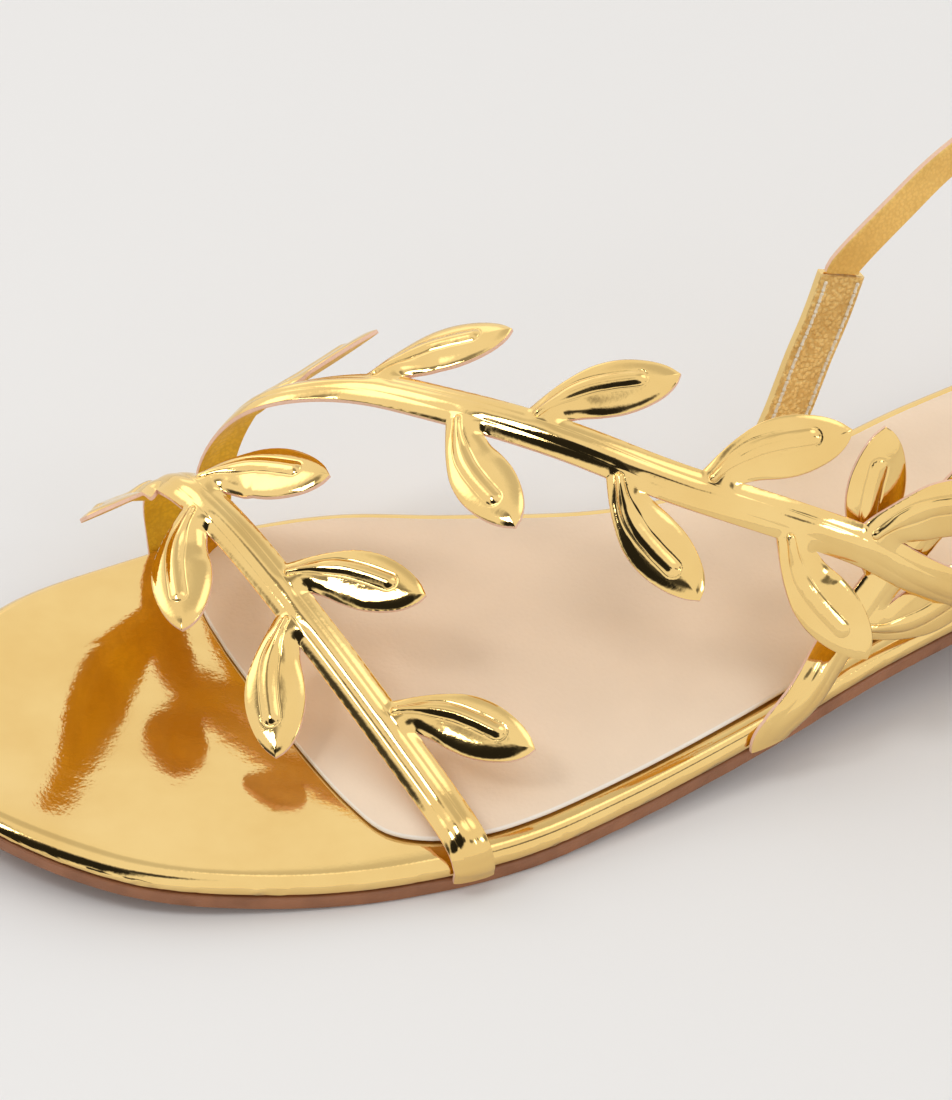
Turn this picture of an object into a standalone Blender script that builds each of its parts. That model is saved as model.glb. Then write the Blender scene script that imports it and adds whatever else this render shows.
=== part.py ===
"""Leaf-branch gladiator sandal, left shoe.

X runs from toe to heel, Y to the inner side of the foot, Z up. The origin is on the
ground under the ball of the foot. All values are metres and degrees.
"""
import math

import bpy
import numpy as np
from mathutils import Vector

# Driving sizes of the sole
SOLE_LENGTH = 0.255
BALL_AT = 0.72          # ball line, as a share of the length from the heel
BALL_WIDTH = 0.0873
TOE_SPRING = 0.0078
TREAD_HALF = 0.008      # flat tread before and behind the ball line
HEEL_RISE = 0.010
SEAT_LENGTH = 0.064     # level stretch over the heel lift
OUTSOLE_THICK = 0.0025
OUTSOLE_INSET = 0.0002
LIFT_INSET = 0.0006
BOARD_THICK = 0.0038
BOARD_ROUND = 0.0016
SOCK_EDGE = 0.0009
SOCK_CROWN = 0.0014
SOCK_MARGIN = 0.0034
JOIN_GAP = 0.0003
TUCK_GAP = 0.0004

# Driving sizes of the straps
INSTEP_HEIGHT = 0.050
STRAP_THICK = 0.0012
STEM_WIDTH = 0.0065
RIB_WIDTH = 0.0026
RIB_HEIGHT = 0.0006
LEAF_LENGTH = 0.0215
LEAF_ROOT = 0.155       # half of the leaf's root, as a share of its length
LEAF_RIB = 0.0005
TAB_WIDTH = 0.0082
TAB_THICK = 0.0022
ANKLE_WIDTH = 0.0062
ANKLE_THICK = 0.0014
BUCKLE_WIRE = 0.0016
BUCKLE_CORNER = 0.0022
BUCKLE_SIDE_PLAY = 0.0012
PRONG_WIRE = 0.0013
HOLE_WIDTH = 0.0032
HOLE_REACH = 0.006

# Fineness of the faceted surfaces
SOLE_ROWS = 46
SOLE_COLUMNS = 5
STEM_STEP = 0.0042
CURVE_SAMPLES = 24

# Sole outline from heel to toe: along is a share of the length, the sides are shares of
# the ball width, outer side first
OUTLINE = (
    # along, outer, inner
    (0.000, 0.000, 0.000),
    (0.020, 0.156, 0.149),
    (0.055, 0.253, 0.243),
    (0.110, 0.314, 0.308),
    (0.200, 0.312, 0.323),
    (0.300, 0.288, 0.283),
    (0.400, 0.330, 0.236),
    (0.500, 0.399, 0.266),
    (0.600, 0.456, 0.394),
    (0.670, 0.484, 0.487),
    (0.740, 0.476, 0.515),
    (0.820, 0.427, 0.492),
    (0.900, 0.336, 0.432),
    (0.960, 0.185, 0.290),
    (0.989, 0.055, 0.162),
    (1.000, -0.045, 0.045),
)

# Front edge of the sock, outer side to inner side: along is a share of the length and
# across a share of the half width, -1 at the outer rim
SOCK_FRONT = (
    # along, across
    (0.688, -0.920),
    (0.722, -0.890),
    (0.745, -0.810),
    (0.757, -0.640),
    (0.768, -0.340),
    (0.776, 0.000),
    (0.782, 0.300),
    (0.783, 0.580),
    (0.770, 0.800),
    (0.742, 0.915),
)
SOCK_FRONT_POLE = 6
SOCK_OUTER_END = 0.66
SOCK_INNER_END = 0.71

# Strap paths, the branches by their outer faces and the tab and ankle strap by their
# inner faces: along is a share of the length, across a share of the half width, rise a
# share of the instep height above the board, lean turns the face from up (0) to the
# inner side (90) or the outer side (-90) and pitch tips it to the toe
TOE_PATH = (
    # along, across, rise, lean, pitch
    (0.7825, 1.055, 0.060, 90, 0),
    (0.784, 1.040, 0.165, 86, 2),
    (0.785, 0.990, 0.262, 68, 6),
    (0.784, 0.900, 0.340, 42, 12),
    (0.780, 0.757, 0.395, 14, 18),
    (0.767, 0.484, 0.386, -8, 20),
    (0.743, -0.073, 0.287, -18, 20),
    (0.720, -0.596, 0.150, -26, 18),
    (0.710, -0.850, 0.086, -32, 14),
    (0.7065, -1.010, 0.067, -50, 6),
)
INSTEP_PATH = (
    # along, across, rise, lean, pitch
    (0.750, 1.040, 0.090, 90, 0),
    (0.748, 1.020, 0.253, 82, 4),
    (0.739, 0.975, 0.427, 66, 12),
    (0.721, 0.885, 0.590, 40, 20),
    (0.674, 0.730, 0.698, 20, 26),
    (0.633, 0.439, 0.781, 4, 26),
    (0.582, 0.112, 0.785, -12, 25),
    (0.528, -0.218, 0.689, -28, 23),
    (0.462, -0.636, 0.540, -46, 20),
    (0.420, -0.855, 0.396, -60, 16),
    (0.393, -0.980, 0.264, -72, 12),
    (0.363, -1.055, 0.130, -82, 8),
)
OUTER_PATH = (
    # along, across, rise, lean, pitch
    (0.482, -1.060, 0.012, -84, 0),
    (0.471, -1.058, 0.052, -74, 0),
    (0.450, -0.960, 0.102, -66, 0),
    (0.424, -0.906, 0.184, -66, 0),
    (0.396, -0.878, 0.287, -68, 0),
    (0.353, -0.860, 0.447, -74, 0),
    (0.300, -0.890, 0.665, -80, 0),
    (0.262, -0.880, 0.830, -82, 0),
)
TAB_PATH = (
    # along, across, rise, lean, pitch
    (0.3965, 1.035, 0.040, 90, 0),
    (0.3870, 1.050, 0.143, 90, 0),
    (0.3730, 1.072, 0.317, 91, 0),
    (0.3604, 1.083, 0.458, 90, 0),
    (0.3506, 1.085, 0.600, 90, 0),
)
ANKLE_PATH = (
    # along, across, rise, lean, pitch
    (0.3130, 1.030, 0.790, 88, 0),
    (0.2780, 0.990, 0.927, 86, 0),
    (0.2150, 0.930, 1.090, 84, 0),
    (0.1500, 0.880, 1.190, 86, -20),
    (0.0950, 0.740, 1.250, 88, -42),
    (0.0620, 0.440, 1.280, 88, -68),
    (0.0530, 0.000, 1.285, 0, -90),
    (0.0620, -0.440, 1.280, -88, -68),
    (0.0950, -0.740, 1.250, -88, -42),
    (0.1500, -0.880, 1.180, -86, -20),
    (0.1950, -0.960, 1.080, -84, 0),
)

# Buckle and strap tip past the outer branch's end: forward along it, and level off its
# inner face
BUCKLE_BAR = (-0.0015, 0.0029)
BUCKLE_FAR = (0.0100, 0.0045)
ANKLE_TIP = (
    # forward, level
    (0.0100, 0.0017),
    (0.0060, 0.0025),
    (0.0015, 0.0039),
    (-0.0045, 0.0041),
    (-0.0140, 0.0025),
)

# Where the straps are tucked beside the board, as shares of the length
TOE_INNER_TUCK = 0.782
TOE_OUTER_TUCK = 0.7035
INSTEP_INNER_TUCK = 0.752
INSTEP_OUTER_TUCK = 0.332
OUTER_TUCK = 0.500
TAB_TUCK = 0.400

# Leaves: at is the place of the leaf's outer root corner as a share of the path, side is
# 1 for the left of the stem, angle is from the stem, lift raises the tip as a share of
# the leaf's length
TOE_LEAVES = (
    # at, side, angle, lift
    (0.142, -1, 47, -0.02),
    (0.228, 1, 36, 0.08),
    (0.268, -1, 42, 0.06),
    (0.444, 1, 40, 0.03),
    (0.502, -1, 39, 0.02),
    (0.708, 1, 38, 0.00),
)
INSTEP_LEAVES = (
    # at, side, angle, lift
    (0.168, 1, 40, -0.01),
    (0.300, 1, 37, 0.00),
    (0.410, -1, 41, -0.02),
    (0.478, 1, 38, 0.00),
    (0.570, -1, 36, 0.01),
    (0.648, 1, 38, -0.01),
    (0.729, -1, 39, -0.02),
    (0.802, 1, 41, 0.06),
)
OUTER_LEAVES = (
    # at, side, angle, lift
    (0.280, -1, 34, -0.09),
    (0.380, 1, 39, 0.00),
    (0.590, -1, 38, -0.02),
    (0.700, 1, 38, 0.02),
)

# Leaf outline from root to tip, as shares of its length: outer is the edge on the side
# that the leaf turns away from, inner the edge towards the stem
LEAF_EDGES = (
    # outer along, outer across, inner along, inner across
    (0.04, 0.170, 0.24, -0.115),
    (0.20, 0.230, 0.37, -0.152),
    (0.40, 0.275, 0.53, -0.180),
    (0.60, 0.260, 0.70, -0.172),
    (0.80, 0.182, 0.85, -0.132),
    (0.93, 0.088, 0.95, -0.067),
)
# Columns across a leaf, from the outer edge, and the share of the rib's height in each
LEAF_COLUMNS = (
    # across, rib
    (0.00, 0.0),
    (0.22, 0.5),
    (0.42, 1.0),
    (0.70, 0.5),
    (1.00, 0.0),
)

MIRROR_GOLD = (0.83, 0.56, 0.16, 1)
MATT_GOLD = (0.62, 0.40, 0.12, 1)
NUDE = (0.76, 0.62, 0.48, 1)
BROWN = (0.30, 0.11, 0.07, 1)


def clear_scene():
    """Removes whatever the scene holds."""
    for item in list(bpy.data.objects):
        bpy.data.objects.remove(item, do_unlink=True)


def make_collection(name):
    """Adds a collection to the scene."""
    made = bpy.data.collections.new(name)
    bpy.context.scene.collection.children.link(made)
    return made


def make_material(name, colour, roughness, metallic):
    """Adds a plain Principled material."""
    material = bpy.data.materials.new(name)
    material.use_nodes = True
    shader = material.node_tree.nodes["Principled BSDF"]
    shader.inputs["Base Color"].default_value = colour
    shader.inputs["Roughness"].default_value = roughness
    shader.inputs["Metallic"].default_value = metallic
    material.diffuse_color = colour
    return material


def spline(nodes, samples=CURVE_SAMPLES, closed=False):
    """Centripetal Catmull-Rom curve through the nodes, spaced by their first columns."""
    nodes = np.asarray(nodes, dtype=float)
    if closed:
        ring = np.vstack([nodes[-1:], nodes, nodes[:2]])
    else:
        before = 2 * nodes[0] - nodes[1]
        after = 2 * nodes[-1] - nodes[-2]
        ring = np.vstack([before, nodes, after])
    places = min(3, ring.shape[1])
    steps = np.linalg.norm(np.diff(ring[:, :places], axis=0), axis=1) ** 0.5
    knots = np.concatenate([[0.0], np.cumsum(steps)])
    pieces = []
    for k in range(1, len(ring) - 2):
        t0, t1, t2, t3 = knots[k - 1:k + 3]
        t = np.linspace(t1, t2, samples, endpoint=False)[:, None]
        p0, p1, p2, p3 = ring[k - 1:k + 3]
        a1 = (t1 - t) / (t1 - t0) * p0 + (t - t0) / (t1 - t0) * p1
        a2 = (t2 - t) / (t2 - t1) * p1 + (t - t1) / (t2 - t1) * p2
        a3 = (t3 - t) / (t3 - t2) * p2 + (t - t2) / (t3 - t2) * p3
        b1 = (t2 - t) / (t2 - t0) * a1 + (t - t0) / (t2 - t0) * a2
        b2 = (t3 - t) / (t3 - t1) * a2 + (t - t1) / (t3 - t1) * a3
        pieces.append((t2 - t) / (t2 - t1) * b1 + (t - t1) / (t2 - t1) * b2)
    pieces.append(ring[-2][None, :])
    return np.vstack(pieces)


def arc_lengths(points):
    """Length along a row of points, up to each of them."""
    places = points[:, :min(3, points.shape[1])]
    steps = np.linalg.norm(np.diff(places, axis=0), axis=1)
    return np.concatenate([[0.0], np.cumsum(steps)])


def read_at(lengths, values, wanted):
    """Values of every column at the wanted lengths."""
    columns = [np.interp(wanted, lengths, values[:, k]) for k in range(values.shape[1])]
    return np.stack(columns, axis=-1)


def along_to_x(along):
    """X of a share of the length, from the heel."""
    return (BALL_AT - along) * SOLE_LENGTH


def sole_halves(inset=0.0):
    """Outer and inner halves of the outline, heel to toe, moved in by the inset."""
    rows = np.array(OUTLINE)
    x = along_to_x(rows[:, 0])
    outer = np.stack([x, -rows[:, 1] * BALL_WIDTH], axis=-1)
    inner = np.stack([x, rows[:, 2] * BALL_WIDTH], axis=-1)
    nodes = np.vstack([outer, inner[-2:0:-1]])
    ring = spline(nodes, closed=True)
    tangent = np.roll(ring[:-1], -1, axis=0) - np.roll(ring[:-1], 1, axis=0)
    tangent /= np.linalg.norm(tangent, axis=1)[:, None]
    inward = np.stack([tangent[:, 1], -tangent[:, 0]], axis=-1)
    moved = ring[:-1] + inset * inward
    moved = np.vstack([moved, moved[:1]])
    toe = (len(rows) - 1) * CURVE_SAMPLES
    return moved[:toe + 1], moved[toe:][::-1]


OUTER_RIM, INNER_RIM = sole_halves()


def rim(x, side):
    """Y of the outline on the outer (-1) or inner (1) side, and its outward normal."""
    half = INNER_RIM if side > 0 else OUTER_RIM
    y = np.interp(-x, -half[:, 0], half[:, 1])
    slope = np.gradient(half[:, 1]) / np.minimum(np.gradient(half[:, 0]), -1e-9)
    dy = np.interp(-x, -half[:, 0], slope)
    normal = np.array([-dy * side, side * 1.0])
    return y, normal / np.linalg.norm(normal)


def smooth(t):
    """Rises from 0 to 1 with level ends."""
    t = np.clip(t, 0.0, 1.0)
    return t * t * (3 - 2 * t)


def sole_rise(x):
    """Height of the sole's underside: toe spring, flat tread, arch and heel seat."""
    front = along_to_x(1.0)
    toe = np.clip((-x - TREAD_HALF) / (-front - TREAD_HALF), 0.0, None)
    seat = along_to_x(0.0) - SEAT_LENGTH
    heel = smooth((x - TREAD_HALF) / (seat - TREAD_HALF))
    return TOE_SPRING * toe ** 1.85 + HEEL_RISE * heel


OUTSOLE_TOP = OUTSOLE_THICK
BOARD_BOTTOM = OUTSOLE_TOP + JOIN_GAP
BOARD_TOP = BOARD_BOTTOM + BOARD_THICK
SOCK_BOTTOM = BOARD_TOP + JOIN_GAP


def add_mesh(name, points, faces, collection, material, smooth_angle=40):
    """Makes a named mesh object in a collection."""
    mesh = bpy.data.meshes.new(name)
    mesh.from_pydata([tuple(p) for p in points], [], faces)
    mesh.update()
    mesh.shade_smooth()
    mesh.set_sharp_from_angle(angle=math.radians(smooth_angle))
    made = bpy.data.objects.new(name, mesh)
    made.data.materials.append(material)
    collection.objects.link(made)
    return made


def add_solidify(target, thickness):
    """Thickens an open surface outwards."""
    wall = target.modifiers.new("Wall", "SOLIDIFY")
    wall.thickness = thickness
    wall.offset = 1.0
    wall.use_even_offset = False
    return wall


def add_bevel(target, width, segments):
    """Rounds the edges of a thickened surface."""
    edge = target.modifiers.new("Rounded edge", "BEVEL")
    edge.width = width
    edge.segments = segments
    edge.limit_method = "ANGLE"
    edge.angle_limit = math.radians(50)
    return edge


def sheet_between(outer, inner, rows, columns, height, front_pole=True):
    """Surface between two halves that start at the heel, its rows shared out by length.

    height gives the Z of each point from its X. Returns points, faces and the share
    across and along of each point.
    """
    share = np.linspace(0.0, 1.0, rows + 1)
    share = 0.5 - 0.5 * np.cos(np.pi * share) * (0.35 + 0.65 * np.abs(np.cos(np.pi * share)))
    left = read_at(arc_lengths(outer), outer, share * arc_lengths(outer)[-1])
    right = read_at(arc_lengths(inner), inner, share * arc_lengths(inner)[-1])
    points = [left[0]]
    places = [(0.5, 0.0)]
    last = rows if front_pole else rows + 1
    for i in range(1, last):
        for j in range(columns + 1):
            c = j / columns
            points.append(left[i] * (1 - c) + right[i] * c)
            places.append((c, share[i]))
    if front_pole:
        points.append(left[-1])
        places.append((0.5, 1.0))
    flat = np.array(points)
    faces = []
    wide = columns + 1
    for j in range(columns):
        faces.append((0, 1 + j, 2 + j))
    for i in range(last - 2):
        for j in range(columns):
            a = 1 + i * wide + j
            faces.append((a, a + wide, a + wide + 1, a + 1))
    if front_pole:
        end = len(flat) - 1
        start = 1 + (last - 2) * wide
        for j in range(columns):
            faces.append((start + j, end, start + j + 1))
    solid = np.column_stack([flat, height(flat[:, 0])])
    faces = [tuple(reversed(f)) for f in faces]
    return solid, faces, np.array(places)


def make_outsole(parts, material):
    """Thin outsole: the whole outline, bent by the sole's rise."""
    outer, inner = sole_halves(OUTSOLE_INSET)
    points, faces, _ = sheet_between(outer, inner, SOLE_ROWS, SOLE_COLUMNS, sole_rise)
    made = add_mesh("outsole", points, faces, parts, material)
    add_solidify(made, OUTSOLE_THICK)
    return made


def make_heel_lift(parts, material):
    """Low heel lift under the level heel seat, with a straight breast."""
    outer, inner = sole_halves(LIFT_INSET)
    breast = along_to_x(0.0) - SEAT_LENGTH
    halves = []
    for half in (outer, inner):
        kept = half[half[:, 0] > breast]
        y = np.interp(-breast, -half[:, 0], half[:, 1])
        halves.append(np.vstack([kept, [breast, y]]))
    ground = np.zeros_like
    points, faces, _ = sheet_between(halves[0], halves[1], 14, SOLE_COLUMNS, ground, False)
    made = add_mesh("heel_lift", points, faces, parts, material)
    add_solidify(made, HEEL_RISE - JOIN_GAP)
    return made


def make_board(parts, material):
    """Insole board wrapped in gold, its edge rounded to a bead."""
    outer, inner = sole_halves()

    def height(x):
        return sole_rise(x) + BOARD_BOTTOM

    points, faces, _ = sheet_between(outer, inner, SOLE_ROWS, SOLE_COLUMNS, height)
    made = add_mesh("footbed_board", points, faces, parts, material, 80)
    add_solidify(made, BOARD_THICK)
    add_bevel(made, BOARD_ROUND, 2)
    return made


def sock_halves():
    """Outer and inner halves of the sock, heel to its front edge."""
    outer, inner = sole_halves(SOCK_MARGIN)
    front = []
    for along, across in SOCK_FRONT:
        x = along_to_x(along)
        low = rim(x, -1)[0]
        high = rim(x, 1)[0]
        front.append(((x), (low + high) / 2 + across * (high - low) / 2))
    front = np.array(front)
    keep = 10
    outer = outer[outer[:, 0] > along_to_x(SOCK_OUTER_END)][::keep]
    inner = inner[inner[:, 0] > along_to_x(SOCK_INNER_END)][::keep]
    outer = spline(np.vstack([outer, front[:SOCK_FRONT_POLE + 1]]), 8)
    inner = spline(np.vstack([inner, front[:SOCK_FRONT_POLE - 1:-1]]), 8)
    return outer, inner


def make_sock(parts, material):
    """Padded sock on the board, thin at its edge and crowned in the middle."""
    outer, inner = sock_halves()

    def height(x):
        return sole_rise(x) + SOCK_BOTTOM

    points, faces, places = sheet_between(outer, inner, SOLE_ROWS, SOLE_COLUMNS + 1, height)
    made = add_mesh("footbed_sock", points, faces, parts, material, 60)
    across = 1 - np.abs(2 * places[:, 0] - 1) ** 3
    along = np.clip(np.minimum(places[:, 1], 1 - places[:, 1]) / 0.06, 0.0, 1.0)
    crown = SOCK_CROWN * across * smooth(along)
    weights = made.vertex_groups.new(name="thickness")
    for index, value in enumerate((SOCK_EDGE + crown) / (SOCK_EDGE + SOCK_CROWN)):
        weights.add([index], float(value), "REPLACE")
    wall = add_solidify(made, SOCK_EDGE + SOCK_CROWN)
    wall.vertex_group = "thickness"
    return made


def path_node(along, across, rise, lean, pitch, sunk=0.0):
    """One node of a strap path in metres, sunk below its face, with its lean and pitch."""
    x = along_to_x(along)
    low = rim(x, -1)[0]
    high = rim(x, 1)[0]
    y = (low + high) / 2 + across * (high - low) / 2
    z = sole_rise(x) + BOARD_TOP + rise * INSTEP_HEIGHT
    tip = math.radians(pitch)
    turn = math.radians(lean)
    x += sunk * math.sin(tip)
    y -= sunk * math.cos(tip) * math.sin(turn)
    z -= sunk * math.cos(tip) * math.cos(turn)
    return (x, y, z, lean, pitch)


def tuck_nodes(along, side, away=TUCK_GAP):
    """Nodes beside the board where a strap is tucked, from below to the board's top."""
    x = along_to_x(along)
    y, normal = rim(x, side)
    pitch = -math.degrees(math.asin(normal[0]))
    base = sole_rise(x)
    nodes = []
    for level in (BOARD_BOTTOM, (BOARD_BOTTOM + BOARD_TOP) / 2, BOARD_TOP):
        nodes.append((x + away * normal[0], y + away * normal[1], base + level, 90 * side, pitch))
    return nodes


class Path:
    """Curve of a strap's inner face with its tangent, outward face and left side."""

    def __init__(self, nodes):
        curve = spline(nodes, 40)
        self.length_at = arc_lengths(curve)
        self.length = self.length_at[-1]
        self.place = curve[:, :3]
        lean = np.radians(curve[:, 3])
        pitch = np.radians(curve[:, 4])
        tangent = np.gradient(self.place, self.length_at, axis=0)
        tangent /= np.linalg.norm(tangent, axis=1)[:, None]
        face = np.stack(
            [-np.sin(pitch), np.cos(pitch) * np.sin(lean), np.cos(pitch) * np.cos(lean)],
            axis=-1,
        )
        face -= (face * tangent).sum(axis=1)[:, None] * tangent
        face /= np.linalg.norm(face, axis=1)[:, None]
        self.tangent = tangent
        self.face = face
        self.left = np.cross(face, tangent)

    def read(self, values, u):
        """Vectors at the lengths u along the path."""
        return read_at(self.length_at, values, u)

    def lay(self, u, v, flat_at=None, raised=0.0):
        """Places flat pattern points: u along, v to the left, raised off the face.

        Points are laid on the plane that touches the path at flat_at.
        """
        u = np.atleast_1d(np.asarray(u, dtype=float))
        v = np.broadcast_to(np.asarray(v, dtype=float), u.shape)
        raised = np.broadcast_to(np.asarray(raised, dtype=float), u.shape)
        at = u if flat_at is None else np.broadcast_to(flat_at, u.shape)
        at = np.clip(at, 0.0, self.length)
        out = self.read(self.place, at) + (u - at)[:, None] * self.read(self.tangent, at)
        out = out + v[:, None] * self.read(self.left, at)
        return out + raised[:, None] * self.read(self.face, at)

    def end_skew(self, end):
        """Slant that makes an end level: change of u for each metre of v."""
        at = np.array([0.0 if end == 0 else self.length])
        tangent = self.read(self.tangent, at)[0]
        left = self.read(self.left, at)[0]
        return -left[2] / tangent[2] if abs(tangent[2]) > 0.2 else 0.0


class Branch:
    """Open surface of a stem with leaves, as points and faces."""

    def __init__(self, path, leaves, level_start, level_end):
        self.path = path
        self.skew_start = path.end_skew(0) if level_start else 0.0
        self.skew_end = path.end_skew(1) if level_end else 0.0
        self.half = STEM_WIDTH / 2
        self.columns = (-self.half, -RIB_WIDTH / 2, 0.0, RIB_WIDTH / 2, self.half)
        self.heights = (0.0, 0.35 * RIB_HEIGHT, RIB_HEIGHT, 0.35 * RIB_HEIGHT, 0.0)
        self.points = []
        self.faces = []
        roots = [self.leaf_root(row) for row in leaves]
        self.stations = self.make_stations(roots)
        self.add_stem()
        for row, root in zip(leaves, roots):
            self.add_leaf(row, root)

    def leaf_root(self, row):
        """Stations of a leaf's root on the stem's edge."""
        start = row[0] * self.path.length
        wide = 2 * LEAF_ROOT * LEAF_LENGTH
        return start + wide * np.array([c[0] for c in LEAF_COLUMNS])

    def make_stations(self, roots):
        """Rows of the stem: every leaf root, and even steps between them."""
        fixed = np.concatenate([np.concatenate(roots), [0.0, self.path.length]])
        fixed = np.unique(np.round(fixed, 7))
        out = [fixed[0]]
        for value in fixed[1:]:
            count = int(np.ceil((value - out[-1]) / STEM_STEP))
            out.extend(np.linspace(out[-1], value, count + 1)[1:])
        return np.array(out)

    def slant(self, u, v):
        """Length along the path of a stem point, with the slanted ends."""
        reach = 3.5 * self.half
        start = 1 - smooth(u / reach)
        end = 1 - smooth((self.path.length - u) / reach)
        return u + v * (start * self.skew_start + end * self.skew_end)

    def add_stem(self):
        """Grid of the stem, five columns with the raised rib."""
        wide = len(self.columns)
        for v, raised in zip(self.columns, self.heights):
            u = self.slant(self.stations, v)
            at = np.clip(u, 0.0, self.path.length)
            self.points.append(self.path.lay(u, v, at, raised))
        self.points = [p for row in np.stack(self.points, axis=1) for p in row]
        for i in range(len(self.stations) - 1):
            for j in range(wide - 1):
                a = i * wide + j
                self.faces.append((a, a + wide, a + wide + 1, a + 1))

    def add_leaf(self, row, root):
        """One leaf: rows between its two edges, closed by its tip."""
        _, side, angle, lift = row
        turn = math.radians(angle)
        axis = np.array([math.cos(turn), side * math.sin(turn)])
        out = np.array([-math.sin(turn), side * math.cos(turn)])
        middle = np.array([(root[0] + root[-1]) / 2, side * self.half])
        edge_column = 4 if side > 0 else 0
        within = (self.stations > root[0] - 1e-6) & (self.stations < root[-1] + 1e-6)
        rows = np.nonzero(within)[0]
        last = [int(i) * len(self.columns) + edge_column for i in rows]
        across = (self.stations[rows] - root[0]) / (root[-1] - root[0])
        columns = np.array(LEAF_COLUMNS)
        ribs = LEAF_RIB * np.interp(across, columns[:, 0], columns[:, 1])
        for k, (oa, oc, ia, ic) in enumerate(LEAF_EDGES):
            outer = middle + LEAF_LENGTH * (oa * axis + oc * out)
            inner = middle + LEAF_LENGTH * (ia * axis + ic * out)
            flat = outer + across[:, None] * (inner - outer)
            fade = 1.0 if k < len(LEAF_EDGES) - 2 else 0.4
            placed = self.lay_leaf(flat, side, middle[0], lift, ribs * fade)
            start = len(self.points)
            self.points.extend(placed)
            row_now = [start + j for j in range(len(across))]
            for j in range(len(across) - 1):
                self.add_face(side, (last[j], row_now[j], row_now[j + 1], last[j + 1]))
            last = row_now
        tip = self.lay_leaf(
            np.array([middle + LEAF_LENGTH * axis]), side, middle[0], lift, np.zeros(1)
        )
        self.points.extend(tip)
        end = len(self.points) - 1
        for j in range(len(across) - 1):
            self.add_face(side, (last[j], end, last[j + 1]))

    def add_face(self, side, corners):
        """Adds a leaf face that looks outwards on either side of the stem."""
        self.faces.append(corners if side < 0 else tuple(reversed(corners)))

    def lay_leaf(self, flat, side, root_u, lift, ribs):
        """Places leaf points: on the stem's curve at its edge, on a flat plane beyond."""
        out = np.clip(side * flat[:, 1] - self.half, 0.0, None)
        settle = smooth(out / (0.3 * LEAF_LENGTH))
        at = flat[:, 0] + (root_u - flat[:, 0]) * settle
        raised = lift * out * 1.6 + ribs
        return self.path.lay(flat[:, 0], flat[:, 1], at, raised)


def make_branch(name, nodes, leaves, level_start, level_end, collection, material):
    """Embossed leather branch: a stem along a path with leaves on both sides."""
    branch = Branch(Path(nodes), leaves, level_start, level_end)
    made = add_mesh(name, branch.points, branch.faces, collection, material, 60)
    add_solidify(made, STRAP_THICK)
    return made


def make_band(name, nodes, width, thick, level_start, collection, material):
    """Plain band of even width along a path."""
    path = Path(nodes)
    skew = path.end_skew(0) if level_start else 0.0
    count = int(round(path.length / STEM_STEP))
    u = np.linspace(0.0, path.length, count + 1)
    columns = []
    for v in (-width / 2, 0.0, width / 2):
        slanted = u + v * skew * (1 - smooth(u / (1.75 * width)))
        columns.append(path.lay(slanted, v, np.clip(slanted, 0.0, path.length)))
    points = np.stack(columns, axis=1).reshape(-1, 3)
    faces = []
    for i in range(count):
        for j in range(2):
            a = i * 3 + j
            faces.append((a, a + 3, a + 4, a + 1))
    made = add_mesh(name, points, faces, collection, material, 60)
    add_solidify(made, thick)
    return made


def toe_nodes():
    """Path of the toe branch, inner side to outer side."""
    rows = [path_node(*row, STRAP_THICK) for row in TOE_PATH]
    return tuck_nodes(TOE_INNER_TUCK, 1) + rows + tuck_nodes(TOE_OUTER_TUCK, -1)[::-1]


def instep_nodes():
    """Path of the instep branch, inner side to outer side."""
    rows = [path_node(*row, STRAP_THICK) for row in INSTEP_PATH]
    return tuck_nodes(INSTEP_INNER_TUCK, 1) + rows + tuck_nodes(INSTEP_OUTER_TUCK, -1)[::-1]


def outer_nodes():
    """Path of the outer ankle branch, sole to buckle."""
    rows = [path_node(*row, STRAP_THICK) for row in OUTER_PATH]
    return tuck_nodes(OUTER_TUCK, -1)[:2] + rows


def tab_nodes():
    """Path of the inner tab, sole to its top."""
    return tuck_nodes(TAB_TUCK, 1, 1.6 * TUCK_GAP) + [path_node(*row) for row in TAB_PATH]


def ankle_nodes(outer_path):
    """Path of the ankle strap: from the tab's top behind the ankle, under the buckle's
    far side and over its bar, to its tip on the outer branch."""
    tab = Path(tab_nodes())
    start = tab.place[-1] + (TAB_THICK - ANKLE_THICK) / 2 * tab.face[-1]
    rows = []
    for forward in (JOIN_GAP, 0.5 * ANKLE_WIDTH):
        rows.append((*(start + forward * tab.tangent[-1]), 90, 0))
    rows.extend(path_node(*row) for row in ANKLE_PATH)
    for forward, level in ANKLE_TIP:
        place = beyond_end(outer_path, forward, level)
        rows.append((*place, rows[-1][3], 0))
    return rows


def beyond_end(outer_path, forward, level, aside=0.0):
    """Point past the outer branch's end: forward, off its inner face, and aside."""
    end = np.array([outer_path.length])
    place = outer_path.read(outer_path.place, end)[0]
    tangent = outer_path.read(outer_path.tangent, end)[0]
    left = outer_path.read(outer_path.left, end)[0]
    face = outer_path.read(outer_path.face, end)[0]
    return place + forward * tangent + level * face + aside * left


def join_with(target, other):
    """Boolean union of a strap with the one that crosses it."""
    union = target.modifiers.new("Joined where they cross", "BOOLEAN")
    union.operation = "UNION"
    union.solver = "EXACT"
    union.object = other
    other.hide_render = True
    other.display_type = "WIRE"


def buckle_plane(forward):
    """Level of the buckle's tilted plane at a place past the outer branch's end."""
    share = (forward - BUCKLE_BAR[0]) / (BUCKLE_FAR[0] - BUCKLE_BAR[0])
    return BUCKLE_BAR[1] + share * (BUCKLE_FAR[1] - BUCKLE_BAR[1])


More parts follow.
